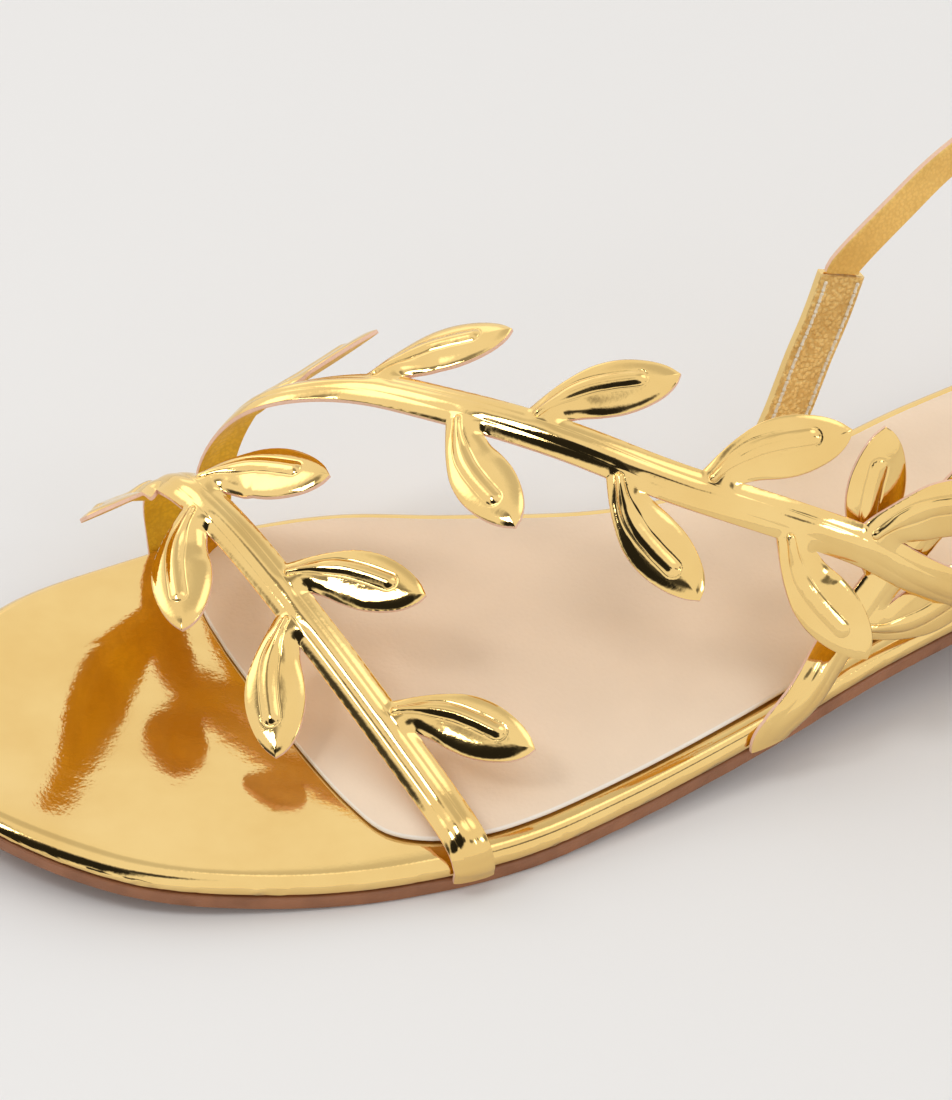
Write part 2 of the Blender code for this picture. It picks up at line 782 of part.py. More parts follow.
def make_buckle(parts, material, outer_path):
    """Wire frame with its bar over the outer branch's end, and its prong."""
    half_wide = STEM_WIDTH / 2 + BUCKLE_WIRE / 2 + BUCKLE_SIDE_PLAY
    half_long = (BUCKLE_FAR[0] - BUCKLE_BAR[0]) / 2
    middle = (BUCKLE_FAR[0] + BUCKLE_BAR[0]) / 2
    points = []
    for sign_u, sign_v, first in ((1, 1, 0), (-1, 1, 90), (-1, -1, 180), (1, -1, 270)):
        for step in range(4):
            turn = math.radians(first + step * 30)
            u = middle + sign_u * (half_long - BUCKLE_CORNER) + BUCKLE_CORNER * math.cos(turn)
            v = sign_v * (half_wide - BUCKLE_CORNER) + BUCKLE_CORNER * math.sin(turn)
            points.append(beyond_end(outer_path, u, buckle_plane(u), v))
    add_wire("buckle_frame", points, True, parts, material, BUCKLE_WIRE)
    clear = BUCKLE_WIRE / 2 + PRONG_WIRE / 2 + JOIN_GAP
    top = BUCKLE_FAR[1] + clear
    prong = [
        beyond_end(outer_path, BUCKLE_BAR[0], BUCKLE_BAR[1] + BUCKLE_WIRE / 2 + JOIN_GAP),
        beyond_end(outer_path, BUCKLE_BAR[0], top - 0.0012),
        beyond_end(outer_path, BUCKLE_BAR[0] + 0.0006, top - 0.0004),
        beyond_end(outer_path, BUCKLE_BAR[0] + 0.0016, top),
        beyond_end(outer_path, middle, top),
        beyond_end(outer_path, BUCKLE_FAR[0] + BUCKLE_WIRE / 2, top),
    ]
    add_wire("buckle_prong", prong, False, parts, material, PRONG_WIRE)


def punch_hole(target, outer_path, helpers):
    """Hole in the ankle strap that the prong passes through."""
    forward = BUCKLE_BAR[0] + 0.2 * HOLE_WIDTH
    centre = beyond_end(outer_path, forward, BUCKLE_BAR[1])
    above = beyond_end(outer_path, forward, BUCKLE_BAR[1] + HOLE_REACH)
    bpy.ops.mesh.primitive_cylinder_add(
        vertices=16, radius=HOLE_WIDTH / 2, depth=2 * HOLE_REACH, location=tuple(centre)
    )
    cutter = bpy.context.active_object
    cutter.name = "prong_hole"
    cutter.rotation_euler = Vector(above - centre).to_track_quat("Z", "Y").to_euler()
    for owner in list(cutter.users_collection):
        owner.objects.unlink(cutter)
    helpers.objects.link(cutter)
    cutter.hide_render = True
    cutter.display_type = "WIRE"
    cut = target.modifiers.new("Prong hole", "BOOLEAN")
    cut.operation = "DIFFERENCE"
    cut.solver = "EXACT"
    cut.object = cutter


def add_wire(name, points, closed, collection, material, wire):
    """Round wire along points, as a bevelled curve with filled caps."""
    curve = bpy.data.curves.new(name, "CURVE")
    curve.dimensions = "3D"
    curve.bevel_depth = wire / 2
    curve.bevel_resolution = 2
    curve.use_fill_caps = not closed
    line = curve.splines.new("POLY")
    line.points.add(len(points) - 1)
    for item, place in zip(line.points, points):
        item.co = (*place, 1.0)
    line.use_cyclic_u = closed
    made = bpy.data.objects.new(name, curve)
    made.data.materials.append(material)
    collection.objects.link(made)
    return made


def main():
    """Builds every piece of the sandal."""
    clear_scene()
    parts = make_collection("leaf_sandal")
    helpers = make_collection("crossing_straps")
    mirror = make_material("mirror_gold", MIRROR_GOLD, 0.08, 1.0)
    matt = make_material("matt_gold", MATT_GOLD, 0.4, 0.8)
    nude = make_material("nude_sock", NUDE, 0.6, 0.0)
    brown = make_material("brown_outsole", BROWN, 0.5, 0.0)
    make_outsole(parts, brown)
    make_heel_lift(parts, brown)
    make_board(parts, mirror)
    make_sock(parts, nude)
    make_branch("toe_strap", toe_nodes(), TOE_LEAVES, True, True, parts, mirror)
    instep = make_branch(
        "instep_straps", instep_nodes(), INSTEP_LEAVES, True, True, parts, mirror
    )
    outer = make_branch(
        "outer_branch", outer_nodes(), OUTER_LEAVES, True, False, helpers, mirror
    )
    join_with(instep, outer)
    make_band("medial_tab", tab_nodes(), TAB_WIDTH, TAB_THICK, True, parts, matt)
    outer_path = Path(outer_nodes())
    ankle = make_band(
        "ankle_strap", ankle_nodes(outer_path), ANKLE_WIDTH, ANKLE_THICK, False, parts, matt
    )
    punch_hole(ankle, outer_path, helpers)
    make_buckle(parts, mirror, outer_path)


main()
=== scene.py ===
"""Leaf-branch sandal: foil leather branches, lined ankle strap, shaped sole and studio.

X runs from toe to heel, Y to the inner side of the foot and Z up, in metres.
"""
import math

import bpy
import numpy as np
from bpy.props import FloatProperty, FloatVectorProperty, PointerProperty
from bpy.types import Operator, Panel, PropertyGroup
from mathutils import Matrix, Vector


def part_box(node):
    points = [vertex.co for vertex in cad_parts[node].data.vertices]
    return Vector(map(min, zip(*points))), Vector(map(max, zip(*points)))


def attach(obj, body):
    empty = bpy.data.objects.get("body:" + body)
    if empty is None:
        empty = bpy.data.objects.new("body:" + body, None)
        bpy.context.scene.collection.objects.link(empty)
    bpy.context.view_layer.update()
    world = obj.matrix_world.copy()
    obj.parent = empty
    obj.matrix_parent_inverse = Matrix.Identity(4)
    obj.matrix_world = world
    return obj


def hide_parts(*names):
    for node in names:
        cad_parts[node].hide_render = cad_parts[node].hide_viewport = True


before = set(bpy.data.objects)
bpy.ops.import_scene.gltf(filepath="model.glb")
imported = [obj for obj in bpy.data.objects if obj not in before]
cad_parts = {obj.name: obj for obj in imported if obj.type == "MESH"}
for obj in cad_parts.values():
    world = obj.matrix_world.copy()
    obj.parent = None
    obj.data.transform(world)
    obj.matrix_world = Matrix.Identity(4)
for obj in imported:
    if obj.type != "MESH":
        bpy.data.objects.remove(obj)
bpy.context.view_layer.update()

bl_info = {
    "name": "Leaf Branch Sandal",
    "version": (1, 0, 0),
    "blender": (4, 5, 0),
    "location": "View3D > Sidebar > Sandal",
    "description": "Models a gold leaf-branch sandal in a pale studio",
    "category": "Object",
}

BOARD_BOX = [np.array(corner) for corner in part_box("footbed_board")]

# Sizes of the sole
SOLE_LENGTH = BOARD_BOX[1][0] - BOARD_BOX[0][0]
BALL_AT = 0.72
BALL_WIDTH = 0.0873
TOE_SPRING = 0.0078
TREAD_HALF = 0.008
HEEL_RISE = 0.010
SEAT_LENGTH = 0.064
OUTSOLE_THICK = 0.0025
BOARD_THICK = 0.0038
JOIN_GAP = 0.0003
TUCK_GAP = 0.0004
BOARD_BOTTOM = OUTSOLE_THICK + JOIN_GAP
BOARD_TOP = BOARD_BOTTOM + BOARD_THICK
SOCK_MARGIN = 0.0034
SOCK_ROUND = 0.0005
CROWN_REACH = 0.007
RIM_UNDERSIDE = 0.0009
ROLL_REACH = 0.0026
EDGE_TABLE_REACH = 0.03
# The toe's wider rim starts this far in front of the ball and is full this much further on
TOE_RIM_START = 0.025
TOE_RIM_RAMP = 0.035
TOE_ROLL_REACH = 0.0016
TOE_RIM_CUT = 0.00033
INSTEP_HEIGHT = 0.050

# Sizes of the straps
STRAP_THICK = 0.0012
STEM_WIDTH = 0.0065
RIB_WIDTH = 0.0026
LEAF_LENGTH = 0.0215
LEAF_ROOT = 0.155
MIDRIB_WIDTH = 0.0027
TAB_WIDTH = 0.0082
TAB_THICK = 0.0022
ANKLE_WIDTH = 0.0062
ANKLE_THICK = 0.0014
BUCKLE_WIRE = 0.0016
BUCKLE_CORNER = 0.0022
BUCKLE_SIDE_PLAY = 0.0012
PRONG_WIRE = 0.0013
HOLE_WIDTH = 0.0032
HOLE_REACH = 0.004
BAND_STEP = 0.0006
# Relief of the branches
NOTCH_FILL = 0.00025
NOTCH_REACH = 0.0013
RIB_FADE = 0.0008
LEAF_FLATTENS_OVER = 0.004
ROOT_SETTLES_OVER = 0.3 * LEAF_LENGTH
LIFT_PER_LENGTH = 1.6
# Depths of the creases pressed beside the ribs, and their distance in rib half widths
CREASES = (("midrib", 0.00009), ("stem_rib", 0.00003))
CREASE_AT = 1.06
# Stitches of the tab: where they start, end and lie from its edge
STITCH_START = 0.0075
STITCH_END = 0.001
STITCH_INSET = 0.0011
STITCH_HALF = 0.33

# Sole outline from heel to toe, outer and inner side
OUTLINE = (
    # along, outer, inner
    (0.000, 0.000, 0.000),
    (0.020, 0.156, 0.149),
    (0.055, 0.253, 0.243),
    (0.110, 0.314, 0.308),
    (0.200, 0.312, 0.323),
    (0.300, 0.288, 0.283),
    (0.400, 0.330, 0.236),
    (0.500, 0.399, 0.266),
    (0.600, 0.456, 0.394),
    (0.670, 0.484, 0.487),
    (0.740, 0.476, 0.515),
    (0.820, 0.427, 0.492),
    (0.900, 0.336, 0.432),
    (0.960, 0.185, 0.290),
    (0.989, 0.055, 0.162),
    (1.000, -0.045, 0.045),
)
# Front edge of the sock from the outer to the inner side
SOCK_FRONT = (
    # along, across
    (0.688, -0.920),
    (0.722, -0.890),
    (0.745, -0.810),
    (0.757, -0.640),
    (0.768, -0.340),
    (0.776, 0.000),
    (0.782, 0.300),
    (0.783, 0.580),
    (0.770, 0.800),
    (0.742, 0.915),
)
SOCK_FRONT_POLE = 6
SOCK_OUTER_END = 0.66
SOCK_INNER_END = 0.71

# Strap paths: along the sole, across it, rise above the board, and the turn of the face
TOE_PATH = (
    # along, across, rise, lean, pitch
    (0.7825, 1.055, 0.060, 90, 0),
    (0.784, 1.040, 0.165, 86, 2),
    (0.785, 0.990, 0.262, 68, 6),
    (0.784, 0.900, 0.340, 42, 12),
    (0.780, 0.757, 0.395, 14, 18),
    (0.767, 0.484, 0.386, -8, 20),
    (0.743, -0.073, 0.287, -18, 20),
    (0.720, -0.596, 0.150, -26, 18),
    (0.710, -0.850, 0.088, -32, 15),
    (0.7065, -1.005, 0.068, -45, 9),
)
INSTEP_PATH = (
    # along, across, rise, lean, pitch
    (0.750, 1.040, 0.090, 90, 0),
    (0.748, 1.020, 0.253, 82, 4),
    (0.739, 0.975, 0.427, 66, 12),
    (0.721, 0.885, 0.590, 40, 20),
    (0.674, 0.730, 0.698, 20, 26),
    (0.633, 0.439, 0.781, 4, 26),
    (0.582, 0.112, 0.785, -12, 25),
    (0.528, -0.218, 0.689, -28, 23),
    (0.462, -0.636, 0.540, -46, 20),
    (0.420, -0.855, 0.396, -60, 16),
    (0.393, -0.980, 0.264, -72, 12),
    (0.363, -1.055, 0.130, -82, 8),
)
OUTER_PATH = (
    # along, across, rise, lean, pitch
    (0.482, -1.060, 0.012, -84, 0),
    (0.471, -1.058, 0.052, -74, 0),
    (0.450, -0.960, 0.102, -66, 0),
    (0.424, -0.906, 0.184, -66, 0),
    (0.396, -0.878, 0.287, -68, 0),
    (0.353, -0.860, 0.447, -74, 0),
    (0.300, -0.890, 0.665, -80, 0),
    (0.262, -0.880, 0.830, -82, 0),
)
TAB_PATH = (
    # along, across, rise, lean, pitch
    (0.3965, 1.035, 0.040, 90, 0),
    (0.3870, 1.050, 0.143, 90, 0),
    (0.3730, 1.072, 0.317, 91, 0),
    (0.3604, 1.083, 0.458, 90, 0),
    (0.3506, 1.085, 0.600, 90, 0),
)
ANKLE_PATH = (
    # along, across, rise, lean, pitch
    (0.3130, 1.030, 0.790, 88, 0),
    (0.2780, 0.990, 0.927, 86, 0),
    (0.2150, 0.930, 1.090, 84, 0),
    (0.1500, 0.880, 1.190, 86, -20),
    (0.0950, 0.740, 1.250, 88, -42),
    (0.0620, 0.440, 1.280, 88, -68),
    (0.0530, 0.000, 1.285, 0, -90),
    (0.0620, -0.440, 1.280, -88, -68),
    (0.0950, -0.740, 1.250, -88, -42),
    (0.1500, -0.880, 1.180, -86, -20),
    (0.1950, -0.960, 1.080, -84, 0),
)
# Buckle and strap tip past the outer branch's end: forward, and level off its inner face
BUCKLE_BAR = (-0.0015, 0.0029)
BUCKLE_FAR = (0.0100, 0.0045)
ANKLE_TIP = (
    # forward, level
    (0.0100, 0.0017),
    (0.0060, 0.0025),
    (0.0015, 0.0039),
    (-0.0045, 0.0041),
    (-0.0140, 0.0025),
)
# The prong's bend over the bar: forward from the bar, and below its top run
PRONG_BEND = (
    # forward, below
    (0.0000, 0.0012),
    (0.0006, 0.0004),
    (0.0016, 0.0000),
)
# Where the straps are tucked beside the board, as shares of the length
TOE_INNER_TUCK = 0.782
TOE_OUTER_TUCK = 0.7035
INSTEP_INNER_TUCK = 0.752
INSTEP_OUTER_TUCK = 0.332
OUTER_TUCK = 0.500
TAB_TUCK = 0.400

# Leaves: place of the outer root corner as a share of the path, side of the stem, angle
# from the stem and lift of the tip
TOE_LEAVES = (
    # at, side, angle, lift
    (0.142, -1, 47, -0.02),
    (0.228, 1, 36, 0.08),
    (0.268, -1, 42, 0.06),
    (0.444, 1, 40, 0.03),
    (0.502, -1, 39, 0.02),
    (0.708, 1, 38, 0.00),
)
INSTEP_LEAVES = (
    # at, side, angle, lift
    (0.168, 1, 40, -0.01),
    (0.300, 1, 37, 0.00),
    (0.410, -1, 41, -0.02),
    (0.478, 1, 38, 0.00),
    (0.570, -1, 36, 0.01),
    (0.648, 1, 38, -0.01),
    (0.729, -1, 39, -0.02),
    (0.802, 1, 41, 0.06),
)
OUTER_LEAVES = (
    # at, side, angle, lift
    (0.280, -1, 34, -0.09),
    (0.380, 1, 39, 0.00),
    (0.590, -1, 38, -0.02),
    (0.700, 1, 38, 0.02),
)
# Leaf outline from root to tip, as shares of its length
LEAF_EDGES = (
    # outer along, outer across, inner along, inner across
    (0.04, 0.170, 0.24, -0.115),
    (0.20, 0.230, 0.37, -0.152),
    (0.40, 0.275, 0.53, -0.180),
    (0.60, 0.260, 0.70, -0.172),
    (0.80, 0.182, 0.85, -0.132),
    (0.93, 0.088, 0.95, -0.067),
)
# Midrib of a leaf, from the stem's rib, as shares of the leaf's length
MIDRIB = (
    # along, across
    (-0.07, 0.015),
    (0.08, 0.075),
    (0.22, 0.103),
    (0.36, 0.106),
    (0.52, 0.085),
    (0.70, 0.048),
)

# Camera of the photograph
CAMERA_PLACE = (-0.188619, -0.546722, 0.530225)
CAMERA_AZIMUTH = -20.989
CAMERA_ELEVATION = 40.563
CAMERA_LENS = 161.334
CAMERA_SENSOR = 36.0

# The studio's surround and the patches in it that the gold reflects
SURROUND = (0.98, 0.97, 0.955, 1.0)
PATCH_TINT = (1.0, 0.985, 0.96)
PATCHES = (
    # azimuth, elevation, radius, softness, brightness
    (159, 60, 12, 8, 0.70),
    (-110, 62, 9, 5, 0.30),
    (-62, 45, 20, 4, 0.02),
    (-30, 58, 7, 4, 0.05),
    (-88, 12, 15, 4, 0.06),
    (-140, 37, 13, 4, 2.2),
    (30, 50, 5, 3, 0.20),
    (112, 66, 9, 5, 1.9),
    (70, 30, 8, 5, 0.30),
    (178, 22, 7, 5, 1.5),
)

# Reach over which a branch's bends are eased, and the size below which points are one
BEND_EASE = 0.0036
WELD = 2e-8


# Curves

def spline(nodes, samples=24, closed=False):
    """Centripetal Catmull-Rom curve through the nodes, spaced by their first columns.

    Each stretch blends three straight lines between neighbouring nodes twice over, with
    knots at the square roots of the chords.
    """
    nodes = np.asarray(nodes, dtype=float)
    if closed:
        ring = np.vstack([nodes[-1:], nodes, nodes[:2]])
    else:
        before = 2 * nodes[0] - nodes[1]
        after = 2 * nodes[-1] - nodes[-2]
        ring = np.vstack([before, nodes, after])
    places = min(3, ring.shape[1])
    steps = np.linalg.norm(np.diff(ring[:, :places], axis=0), axis=1) ** 0.5
    knots = np.concatenate([[0.0], np.cumsum(steps)])
    pieces = []
    for k in range(1, len(ring) - 2):
        t0, t1, t2, t3 = knots[k - 1:k + 3]
        t = np.linspace(t1, t2, samples, endpoint=False)[:, None]
        p0, p1, p2, p3 = ring[k - 1:k + 3]
        a1 = (t1 - t) / (t1 - t0) * p0 + (t - t0) / (t1 - t0) * p1
        a2 = (t2 - t) / (t2 - t1) * p1 + (t - t1) / (t2 - t1) * p2
        a3 = (t3 - t) / (t3 - t2) * p2 + (t - t2) / (t3 - t2) * p3
        b1 = (t2 - t) / (t2 - t0) * a1 + (t - t0) / (t2 - t0) * a2
        b2 = (t3 - t) / (t3 - t1) * a2 + (t - t1) / (t3 - t1) * a3
        pieces.append((t2 - t) / (t2 - t1) * b1 + (t - t1) / (t2 - t1) * b2)
    pieces.append(ring[-2][None, :])
    return np.vstack(pieces)


def arc_lengths(points):
    """Length along a row of points, up to each of them."""
    places = points[:, :min(3, points.shape[1])]
    steps = np.linalg.norm(np.diff(places, axis=0), axis=1)
    return np.concatenate([[0.0], np.cumsum(steps)])


def read_at(lengths, values, wanted):
    """Values of every column at the wanted lengths, on straight lines between samples."""
    columns = [np.interp(wanted, lengths, values[:, k]) for k in range(values.shape[1])]
    return np.stack(columns, axis=-1)


def smooth(t):
    """Rises from 0 to 1 with level ends: three t squared less two t cubed."""
    t = np.clip(t, 0.0, 1.0)
    return t * t * (3 - 2 * t)


def ease_bends(curve, reach):
    """Averages a curve over a reach to each side, shrinking it to nothing at the ends."""
    length = arc_lengths(curve)
    step = np.gradient(length)
    total = np.cumsum(np.vstack([0.0 * curve[:1], curve * step[:, None]]), axis=0)
    weight = np.cumsum(np.concatenate([[0.0], step]))
    span = np.minimum(reach, np.minimum(length, length[-1] - length))
    low = np.interp(length - span, length, np.arange(len(length)))
    high = np.interp(length + span, length, np.arange(len(length))) + 1
    marks = np.arange(len(weight))
    mass = np.interp(high, marks, weight) - np.interp(low, marks, weight)
    eased = read_at(marks, total, high) - read_at(marks, total, low)
    return eased / mass[:, None]


def nearest_distance(points, samples, reach):
    """Distance of flat points to the nearest sample, up to reach, in strips along u."""
    order = np.argsort(points[:, 0])
    out = np.full(len(points), reach)
    for strip in np.array_split(order, max(1, len(points) // 400)):
        u = points[strip, 0]
        near = samples[(samples[:, 0] > u.min() - reach) & (samples[:, 0] < u.max() + reach)]
        if len(near):
            gaps = np.linalg.norm(points[strip][:, None] - near[None], axis=2)
            out[strip] = np.minimum(reach, gaps.min(axis=1))
    return out


# The sole's form

def along_to_x(along):
    """X of a share of the length, from the heel."""
    return (BALL_AT - along) * SOLE_LENGTH


def sole_halves(inset=0.0):
    """Outer and inner halves of the outline, heel to toe, moved in by the inset."""
    rows = np.array(OUTLINE)
    x = along_to_x(rows[:, 0])
    outer = np.stack([x, -rows[:, 1] * BALL_WIDTH], axis=-1)
    inner = np.stack([x, rows[:, 2] * BALL_WIDTH], axis=-1)
    ring = spline(np.vstack([outer, inner[-2:0:-1]]), 40, closed=True)
    tangent = np.roll(ring[:-1], -1, axis=0) - np.roll(ring[:-1], 1, axis=0)
    tangent /= np.linalg.norm(tangent, axis=1)[:, None]
    moved = ring[:-1] + inset * np.stack([tangent[:, 1], -tangent[:, 0]], axis=-1)
    moved = np.vstack([moved, moved[:1]])
    toe = (len(rows) - 1) * 40
    return moved[:toe + 1], moved[toe:][::-1]


OUTER_RIM, INNER_RIM = sole_halves()


def rim(x, side):
    """Y of the outline on the outer (-1) or inner (1) side, and its outward normal."""
    half = INNER_RIM if side > 0 else OUTER_RIM
    y = np.interp(-x, -half[:, 0], half[:, 1])
    slope = np.gradient(half[:, 1]) / np.minimum(np.gradient(half[:, 0]), -1e-9)
    dy = np.interp(-x, -half[:, 0], slope)
    normal = np.array([-dy * side, side * 1.0])
    return y, normal / np.linalg.norm(normal)


def sole_rise(x):
    """Height of the sole's underside: toe spring as a power, and a smooth step up the
    arch to the heel seat."""
    front = along_to_x(1.0)
    toe = np.clip((-x - TREAD_HALF) / (-front - TREAD_HALF), 0.0, None)
    seat = along_to_x(0.0) - SEAT_LENGTH
    return TOE_SPRING * toe ** 1.85 + HEEL_RISE * smooth((x - TREAD_HALF) / (seat - TREAD_HALF))


def path_node(along, across, rise, lean, pitch, sunk=0.0):
    """One node of a strap path, sunk below its face, with its lean and pitch."""
    x = along_to_x(along)
    low = rim(x, -1)[0]
    high = rim(x, 1)[0]
    y = (low + high) / 2 + across * (high - low) / 2
    z = sole_rise(x) + BOARD_TOP + rise * INSTEP_HEIGHT
    tip = math.radians(pitch)
    turn = math.radians(lean)
    x += sunk * math.sin(tip)
    y -= sunk * math.cos(tip) * math.sin(turn)
    z -= sunk * math.cos(tip) * math.cos(turn)
    return (x, y, z, lean, pitch)


def tuck_nodes(along, side, away=TUCK_GAP, bulge=0.0):
    """Nodes beside the board where a strap is tucked, from below to the board's top; a
    bulge eases the strap's turn over the rim."""
    x = along_to_x(along)
    y, normal = rim(x, side)
    pitch = -math.degrees(math.asin(normal[0]))
    base = sole_rise(x)
    nodes = []
    for share in (0.0, 0.5, 1.0):
        out = away + bulge * share
        level = BOARD_BOTTOM + share * (BOARD_TOP - BOARD_BOTTOM)
        lean = side * (90 - 30 * share * (bulge > 0))
        nodes.append((x + out * normal[0], y + out * normal[1], base + level, lean, pitch))
    return nodes


class Path:
    """Curve of a strap's inner face with its tangent, outward face and left side."""

    def __init__(self, nodes, ease=0.0):
        curve = spline(nodes, 40)
        if ease:
            curve = ease_bends(curve, ease)
        self.length_at = arc_lengths(curve)
        self.length = self.length_at[-1]
        self.place = curve[:, :3]
        lean = np.radians(curve[:, 3])
        pitch = np.radians(curve[:, 4])
        tangent = np.gradient(self.place, self.length_at, axis=0)
        tangent /= np.linalg.norm(tangent, axis=1)[:, None]
        face = np.stack(
            [-np.sin(pitch), np.cos(pitch) * np.sin(lean), np.cos(pitch) * np.cos(lean)],
            axis=-1,
        )
        face -= (face * tangent).sum(axis=1)[:, None] * tangent
        face /= np.linalg.norm(face, axis=1)[:, None]
        self.tangent = tangent
        self.face = face
        self.left = np.cross(face, tangent)

    def read(self, values, u):
        """Vectors at the lengths u along the path."""
        return read_at(self.length_at, values, u)

    def lay(self, u, v, at, raised):
        """Bends flat pattern points onto the strap: the path's point at `at`, plus the
        rest of u along its tangent, v to its left and the height along its face."""
        at = np.clip(at, 0.0, self.length)
        out = self.read(self.place, at) + (u - at)[:, None] * self.read(self.tangent, at)
        out = out + v[:, None] * self.read(self.left, at)
        return out + raised[:, None] * self.read(self.face, at)

    def end_skew(self, end):
        """Slant that makes an end level: change of u for each metre of v."""
        at = np.array([0.0 if end == 0 else self.length])
        tangent = self.read(self.tangent, at)[0]
        left = self.read(self.left, at)[0]
        return -left[2] / tangent[2] if abs(tangent[2]) > 0.2 else 0.0

    def past_end(self, forward, level, aside=0.0):
        """Point past the path's end: forward, off its inner face, and aside."""
        return (self.place[-1] + forward * self.tangent[-1] + level * self.face[-1]
                + aside * self.left[-1])


def toe_path():
    """Path of the toe branch, inner side to outer side."""
    rows = [path_node(*row, STRAP_THICK) for row in TOE_PATH]
    ends = tuck_nodes(TOE_INNER_TUCK, 1), tuck_nodes(TOE_OUTER_TUCK, -1, bulge=0.0009)[::-1]
    return Path(ends[0] + rows + ends[1], BEND_EASE)


def instep_path():
    """Path of the instep branch, inner side to outer side."""
    rows = [path_node(*row, STRAP_THICK) for row in INSTEP_PATH]
    ends = tuck_nodes(INSTEP_INNER_TUCK, 1), tuck_nodes(INSTEP_OUTER_TUCK, -1)[::-1]
    return Path(ends[0] + rows + ends[1], BEND_EASE)


def outer_path(ease=0.0):
    """Path of the outer ankle branch, sole to buckle."""
    rows = [path_node(*row, STRAP_THICK) for row in OUTER_PATH]
    return Path(tuck_nodes(OUTER_TUCK, -1)[:2] + rows, ease)


def tab_path():
    """Path of the inner tab, sole to its top."""
    return Path(tuck_nodes(TAB_TUCK, 1, 1.6 * TUCK_GAP) + [path_node(*row) for row in TAB_PATH])


def ankle_path():
    """Path of the ankle strap, from the tab behind the ankle to its tip."""
    tab = tab_path()
    branch = outer_path()
    start = tab.place[-1] + (TAB_THICK - ANKLE_THICK) / 2 * tab.face[-1]
    rows = []
    for forward in (JOIN_GAP, 0.2 * ANKLE_WIDTH):
        rows.append((*(start + forward * tab.tangent[-1]), 90, 0))
    rows.extend(path_node(*row) for row in ANKLE_PATH)
    for forward, level in ANKLE_TIP:
        rows.append((*branch.past_end(forward, level), rows[-1][3], 0))
    return Path(rows)


# Meshes from whole arrays

def grid_triangles(rows, columns, start=0):
    """Two triangles for each cell of a grid whose points run along its rows."""
    i, j = np.meshgrid(np.arange(rows - 1), np.arange(columns - 1), indexing="ij")
    a = start + (i * columns + j).ravel()
    b, c, d = a + columns, a + columns + 1, a + 1
    return np.vstack([np.stack([a, b, c], axis=-1), np.stack([a, c, d], axis=-1)])


def weld(points, triangles, size=WELD):
    """Joins points in the same place and drops the triangles that close up."""
    keys = np.round(points / size).astype(np.int64)
    _, first, inverse = np.unique(keys, axis=0, return_index=True, return_inverse=True)
    triangles = inverse.reshape(-1)[triangles]
    a, b, c = triangles.T
    return first, triangles[(a != b) & (b != c) & (c != a)]


def border_edges(triangles):
    """Directed edges that only one triangle has."""
    edges = np.vstack([triangles[:, [0, 1]], triangles[:, [1, 2]], triangles[:, [2, 0]]])
    key = np.sort(edges, axis=1)
    _, first, count = np.unique(key, axis=0, return_index=True, return_counts=True)
    return edges[first[count == 1]]


def thick_sheet(outside, inside, triangles):
    """Closes two copies of one sheet with a wall along their borders.

    Returns points, triangles and the part of each: 0 outside, 1 inside, 2 wall.
    """
    count = len(outside)
    edge = border_edges(triangles)
    a, b = edge.T
    wall = np.vstack([
        np.stack([a, a + count, b + count], axis=-1),
        np.stack([a, b + count, b], axis=-1),
    ])
    faces = np.vstack([triangles, triangles[:, ::-1] + count, wall])
    part = np.repeat([0, 1, 2], [len(triangles), len(triangles), len(wall)])
    return np.vstack([outside, inside]), faces, part


def make_piece(name, points, triangles, materials, part=None, values=None, crease=50):
    """Mesh object on the sandal's body, with a material number for each face and named
    values at its points."""
    mesh = bpy.data.meshes.new(name)
    mesh.from_pydata(points.tolist(), [], triangles.tolist())
    if part is not None:
        mesh.polygons.foreach_set("material_index", part.astype(np.int32))
    for label, column in (values or {}).items():
        attribute = mesh.attributes.new(label, "FLOAT", "POINT")
        attribute.data.foreach_set("value", np.asarray(column, dtype=np.float32))
    mesh.update()
    mesh.shade_smooth()
    mesh.set_sharp_from_angle(angle=math.radians(crease))
    made = bpy.data.objects.new(name, mesh)
    for material in materials:
        mesh.materials.append(material)
    bpy.context.scene.collection.objects.link(made)
    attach(made, "root")
    return made


# Branches

